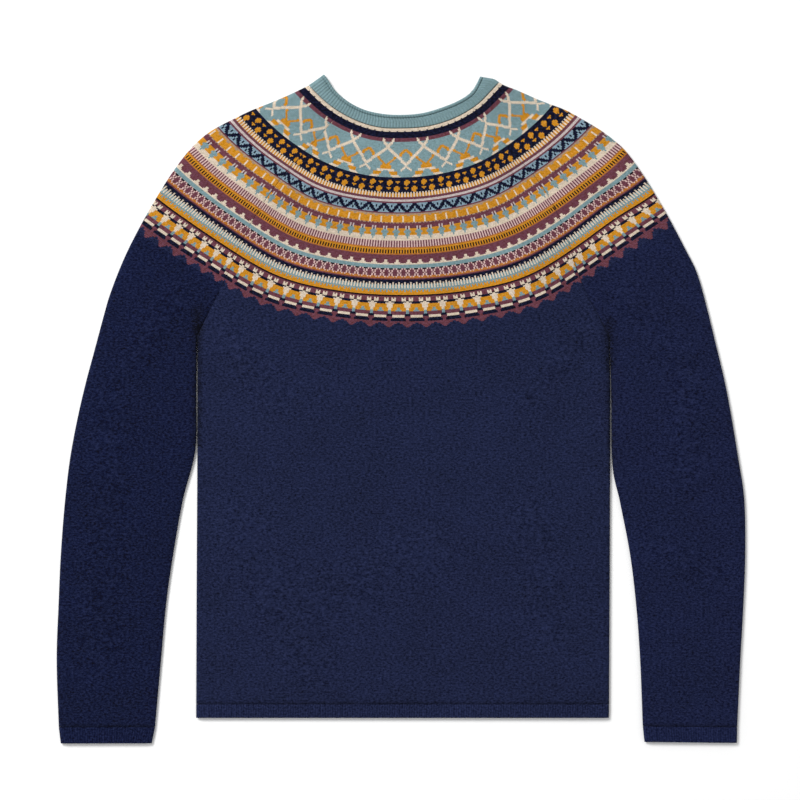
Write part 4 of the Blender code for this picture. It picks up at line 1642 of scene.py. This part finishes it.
class KnitGroups:
    """Shader groups that every finish of the sweater uses."""

    def __init__(self) -> None:
        """Build the groups once."""
        self.stitches = self._stitches()
        self.heather = self._heather()

    @staticmethod
    def _group(name: str, inputs: tuple, outputs: tuple) -> tuple:
        """Start a shader group.

        Args:
            name: Name of the group.
            inputs: Name, kind and value of each input.
            outputs: Name and kind of each output.

        Returns:
            The group, the bench to fill it, and its input and output nodes.
        """
        tree = bpy.data.node_groups.new(name, "ShaderNodeTree")
        for socket, kind, value in inputs:
            made = tree.interface.new_socket(socket, in_out="INPUT", socket_type=kind)
            if value is not None:
                made.default_value = value
        for socket, kind in outputs:
            tree.interface.new_socket(socket, in_out="OUTPUT", socket_type=kind)
        bench = NodeBench(tree)
        return tree, bench, bench.add("NodeGroupInput"), bench.add("NodeGroupOutput")

    def _stitches(self) -> bpy.types.NodeTree:
        """Relief of stocking stitch and painted shade of its gaps, from the knit coordinates.

        Returns:
            The group.
        """
        tree, bench, given, result = self._group(
            "StockingStitch",
            (("Knit", "NodeSocketVector", None),),
            (("Height", "NodeSocketFloat"), ("PaintedGrooveShade", "NodeSocketFloat")))
        parts = bench.add("ShaderNodeSeparateXYZ", Vector=given.outputs["Knit"])
        across = bench.math("FRACT", bench.math("ADD", parts.outputs["X"], 0.5))
        side = bench.math("MULTIPLY", bench.math("ABSOLUTE", bench.math("SUBTRACT", across, 0.5)),
                          2.0)
        slant = bench.math("MULTIPLY", bench.math("SUBTRACT", 1.0, side), 0.5)
        strand = bench.math("FRACT", bench.math("SUBTRACT", parts.outputs["Y"], slant))
        rounded = bench.math("SINE", bench.math("MULTIPLY", strand, math.pi))
        leg = bench.math("SINE", bench.math("MULTIPLY", side, math.pi))
        body = bench.math("POWER", bench.math("MAXIMUM", rounded, 0.0), 0.6)
        legs = bench.math("POWER", bench.math("MAXIMUM", leg, 0.0), 0.5)
        height = bench.math("MULTIPLY", body, legs)
        # Painted shade: the low parts between the stitch legs darken the colour.
        groove = bench.ramp(height, 0.25, 0.75, 1.0, 0.0)
        bench.feed(result.inputs["Height"], height)
        bench.feed(result.inputs["PaintedGrooveShade"], groove)
        return tree

    def _heather(self) -> bpy.types.NodeTree:
        """Flecks and slow mottling of heathered wool.

        Returns:
            The group.
        """
        tree, bench, given, result = self._group(
            "HeatherWool",
            (("Flecks", "NodeSocketFloat", 0.1), ("Mottle", "NodeSocketFloat", 0.06)),
            (("Shade", "NodeSocketFloat"), ("Pale", "NodeSocketFloat"),
             ("Fibre", "NodeSocketFloat")))
        place = bench.add("ShaderNodeTexCoord").outputs["Object"]
        drawn = bench.add("ShaderNodeMapping", Vector=place)
        drawn.inputs["Scale"].default_value = (0.62, 1.0, 1.0)
        fleck = bench.add("ShaderNodeTexNoise", Vector=drawn.outputs["Vector"], Scale=560.0,
                          Detail=2.0, Roughness=0.75)
        mottle = bench.add("ShaderNodeTexNoise", Vector=drawn.outputs["Vector"], Scale=24.0,
                           Detail=5.0, Roughness=0.62)
        fibre = bench.add("ShaderNodeTexNoise", Vector=place, Scale=2600.0, Detail=2.0)
        small = bench.math("MULTIPLY", bench.math("SUBTRACT", fleck.outputs["Fac"], 0.5),
                           bench.math("MULTIPLY", given.outputs["Flecks"], 4.0))
        large = bench.math("MULTIPLY", bench.math("SUBTRACT", mottle.outputs["Fac"], 0.5),
                           bench.math("MULTIPLY", given.outputs["Mottle"], 4.0))
        shade = bench.math("ADD", 1.0, bench.math("ADD", small, large))
        pale = bench.math("SUBTRACT", fleck.outputs["Fac"], 0.5)
        bench.feed(result.inputs["Shade"], shade)
        bench.feed(result.inputs["Pale"], pale)
        bench.feed(result.inputs["Fibre"], fibre.outputs["Fac"])
        return tree


@dataclass(frozen=True)
class WoolFinish:
    """Knitted wool, coloured by its yarns, with painted shade in the gaps between the stitches.

    Args:
        name: Name of the material.
        flecks: Strength of the heather's flecks.
        mottle: Strength of its slow mottling.
        groove: Strength of the painted shade in the gaps between the stitches, from 0 to 1.
        relief: Height of the stitches in metres.
        sheen: Weight of the soft fuzz.
        pale_fibres: How much pale and dark fibres change the reflectance.
    """

    name: str
    flecks: float = 0.22
    mottle: float = 0.14
    groove: float = 0.35
    relief: float = 0.0004
    sheen: float = 0.02
    pale_fibres: tuple[float, float, float] = (0.045, 0.055, 0.13)

    def build(self, groups: KnitGroups) -> bpy.types.Material:
        """Make the material.

        Args:
            groups: The shader groups that all finishes share.

        Returns:
            The material.
        """
        material = bpy.data.materials.new(self.name)
        material.use_nodes = True
        tree = material.node_tree
        bench = NodeBench(tree)
        shader = tree.nodes["Principled BSDF"]
        yarn = bench.add("ShaderNodeAttribute", {"attribute_name": "yarn"})
        knit = bench.add("ShaderNodeUVMap", {"uv_map": "knit"})
        stitches = bench.add("ShaderNodeGroup", {"node_tree": groups.stitches},
                             Knit=knit.outputs["UV"])
        wool = bench.add("ShaderNodeGroup", {"node_tree": groups.heather},
                         Flecks=self.flecks, Mottle=self.mottle)
        # The gaps between the stitches get painted shade in the base colour.
        dark = bench.math("SUBTRACT", 1.0, bench.math("MULTIPLY", stitches.outputs["PaintedGrooveShade"],
                                                     self.groove))
        shade = bench.math("MULTIPLY", wool.outputs["Shade"], dark)
        dyed = bench.add("ShaderNodeVectorMath", {"operation": "SCALE"},
                         Vector=yarn.outputs["Color"], Scale=shade)
        fibres = bench.add("ShaderNodeVectorMath", {"operation": "SCALE"},
                           Scale=wool.outputs["Pale"])
        fibres.inputs["Vector"].default_value = self.pale_fibres
        colour = bench.add("ShaderNodeVectorMath", {"operation": "ADD"},
                           Vector=dyed.outputs["Vector"])
        bench.feed(colour.inputs[1], fibres.outputs["Vector"])
        held = bench.add("ShaderNodeVectorMath", {"operation": "MAXIMUM"},
                         Vector=colour.outputs["Vector"])
        held.inputs[1].default_value = (0.001, 0.001, 0.003)
        bench.feed(shader.inputs["Base Color"], held.outputs["Vector"])
        rough = bench.ramp(wool.outputs["Fibre"], 0.3, 0.7, 0.84, 0.98)
        bench.feed(shader.inputs["Roughness"], rough)
        height = bench.math("ADD", stitches.outputs["Height"],
                            bench.math("MULTIPLY", wool.outputs["Fibre"], 0.35))
        bump = bench.add("ShaderNodeBump", Height=height, Strength=0.8, Distance=self.relief)
        bench.feed(shader.inputs["Normal"], bump.outputs["Normal"])
        shader.inputs["Sheen Weight"].default_value = self.sheen
        shader.inputs["Sheen Roughness"].default_value = 0.6
        shader.inputs["Specular IOR Level"].default_value = 0.08
        return material


@dataclass
class Studio:
    """Pale floor, soft light and the camera straight above.

    Args:
        view_centre: Place on the floor under the middle of the picture.
        view_width: Width of the floor that the picture shows.
        camera_height: Height of the camera.
        sensor_width: Width of the camera's sensor in millimetres.
        key_place: Place of the lamp.
        key_size: Width of the lamp.
        key_power: Power of the lamp in watts.
        sky: Strength of the even light from all round.
        floor_reach: How far the floor goes from the middle.
        floor_level: Height of the floor, just clear of the cloth.
        paper_white: How much of the light the floor sends back.
    """

    view_centre: tuple[float, float] = (-0.0005, 0.00945)
    view_width: float = 0.840
    camera_height: float = 3.2
    sensor_width: float = 36.0
    key_place: tuple[float, float, float] = (-1.9, 1.9, 2.8)
    key_size: float = 1.6
    key_power: float = 125.0
    sky: float = 0.6
    floor_reach: float = 6.0
    floor_level: float = -0.0002
    paper_white: float = 0.97

    def build(self) -> bpy.types.Object:
        """Make the floor, lights and camera.

        Returns:
            The floor.
        """
        floor = self._floor()
        self._lights()
        self._camera()
        return floor

    def _floor(self) -> bpy.types.Object:
        """Make a wide pale floor under the sweater.

        Returns:
            The floor.
        """
        mesh = bpy.data.meshes.new("floor")
        reach, level = self.floor_reach, self.floor_level
        mesh.from_pydata([(-reach, -reach, level), (reach, -reach, level),
                          (reach, reach, level), (-reach, reach, level)], [], [(0, 1, 2, 3)])
        floor = bpy.data.objects.new("floor", mesh)
        bpy.context.scene.collection.objects.link(floor)
        material = bpy.data.materials.new("floor_paper")
        material.use_nodes = True
        shader = material.node_tree.nodes["Principled BSDF"]
        shader.inputs["Base Color"].default_value = (*[self.paper_white] * 3, 1.0)
        shader.inputs["Roughness"].default_value = 0.9
        mesh.materials.append(material)
        return floor

    def _lights(self) -> None:
        """An even sky and one large soft lamp from the upper left."""
        world = bpy.data.worlds.new("studio")
        world.use_nodes = True
        background = world.node_tree.nodes["Background"]
        background.inputs["Color"].default_value = (1.0, 1.0, 1.0, 1.0)
        background.inputs["Strength"].default_value = self.sky
        bpy.context.scene.world = world
        lamp = bpy.data.lights.new("key", "AREA")
        lamp.shape = "DISK"
        lamp.size = self.key_size
        lamp.energy = self.key_power
        key = bpy.data.objects.new("key", lamp)
        key.location = self.key_place
        key.rotation_mode = "QUATERNION"
        key.rotation_quaternion = Vector(self.key_place).to_track_quat("Z", "Y")
        bpy.context.scene.collection.objects.link(key)

    def _camera(self) -> None:
        """A long lens straight above, with the picture's top towards the neck."""
        camera = bpy.data.cameras.new("camera")
        camera.sensor_width = self.sensor_width
        to_cloth = self.camera_height - LAID_HEIGHT * MM
        camera.lens = self.sensor_width * to_cloth / self.view_width
        view = bpy.data.objects.new("camera", camera)
        view.location = (*self.view_centre, self.camera_height)
        bpy.context.scene.collection.objects.link(view)
        bpy.context.scene.camera = view


def main() -> None:
    """Build the sweater round its frame, piece by piece."""
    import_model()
    bpy.context.scene.view_settings.view_transform = "Standard"
    floor = Studio().build()
    groups = KnitGroups()
    body_wool = WoolFinish("yoke_and_body_wool").build(groups)
    navy_rib = WoolFinish("navy_rib_wool", groove=0.15, relief=0.0002).build(groups)
    teal_rib = WoolFinish("teal_rib_wool", flecks=0.06, groove=0.15, relief=0.0002).build(groups)
    seam, fold = Edge.SEAM, Edge.FOLD
    back = Panel("back", "back_knit", RIGHT_RAGLAN, LEFT_RAGLAN, seam, seam, "front", "N",
                 (0.435, 0.626), 0.246, 11, upper=False)
    front = Panel("front", "front_knit", RIGHT_RAGLAN, LEFT_RAGLAN, seam, seam, "front", "N",
                  (0.435, 0.626), 0.246, 12)
    sleeves = (
        Sleeve("sleeve_right", "sleeve_knit", RIGHT_SHOULDER, RIGHT_RAGLAN, fold, seam,
               "right", "A", (0.24, 0.70), 0.152, 13, table=RIGHT_SLEEVE),
        Sleeve("sleeve_left", "sleeve_knit", LEFT_RAGLAN, LEFT_SHOULDER, seam, fold,
               "left", "B", (0.24, 0.70), 0.152, 14, table=LEFT_SLEEVE),
    )
    back_piece = back.build()
    back.dress(back_piece, body_wool, [floor])
    front.dress(front.build(), body_wool, [back_piece])
    for sleeve in sleeves:
        sleeve.dress(sleeve.build(), body_wool, [floor])
    hem_ribs = RibPlan(2.6)
    hems = (Hem("hem_front", "navy_rib", hem_ribs, "N", (0.434, 0.0145), 21, False, True),
            Hem("hem_back", "navy_rib", hem_ribs, "N", (0.434, 0.0145), 22, False, False))
    for hem in hems:
        hem.dress(hem.build(), navy_rib, [floor])
    cuffs = (Cuff("cuff_right", "navy_rib", hem_ribs, "A", (0.2, 0.0172), 23, table=RIGHT_CUFF),
             Cuff("cuff_left", "navy_rib", hem_ribs, "B", (0.2, 0.0172), 24, table=LEFT_CUFF))
    for cuff in cuffs:
        cuff.dress(cuff.build(), navy_rib, [floor])
    neckband = Neckband("neckband", "neck_rib", RibPlan(2.9), "T", (0.45, 0.0135), 25)
    neckband.dress(neckband.build(), teal_rib, [floor])


if __name__ == "__main__":
    main()
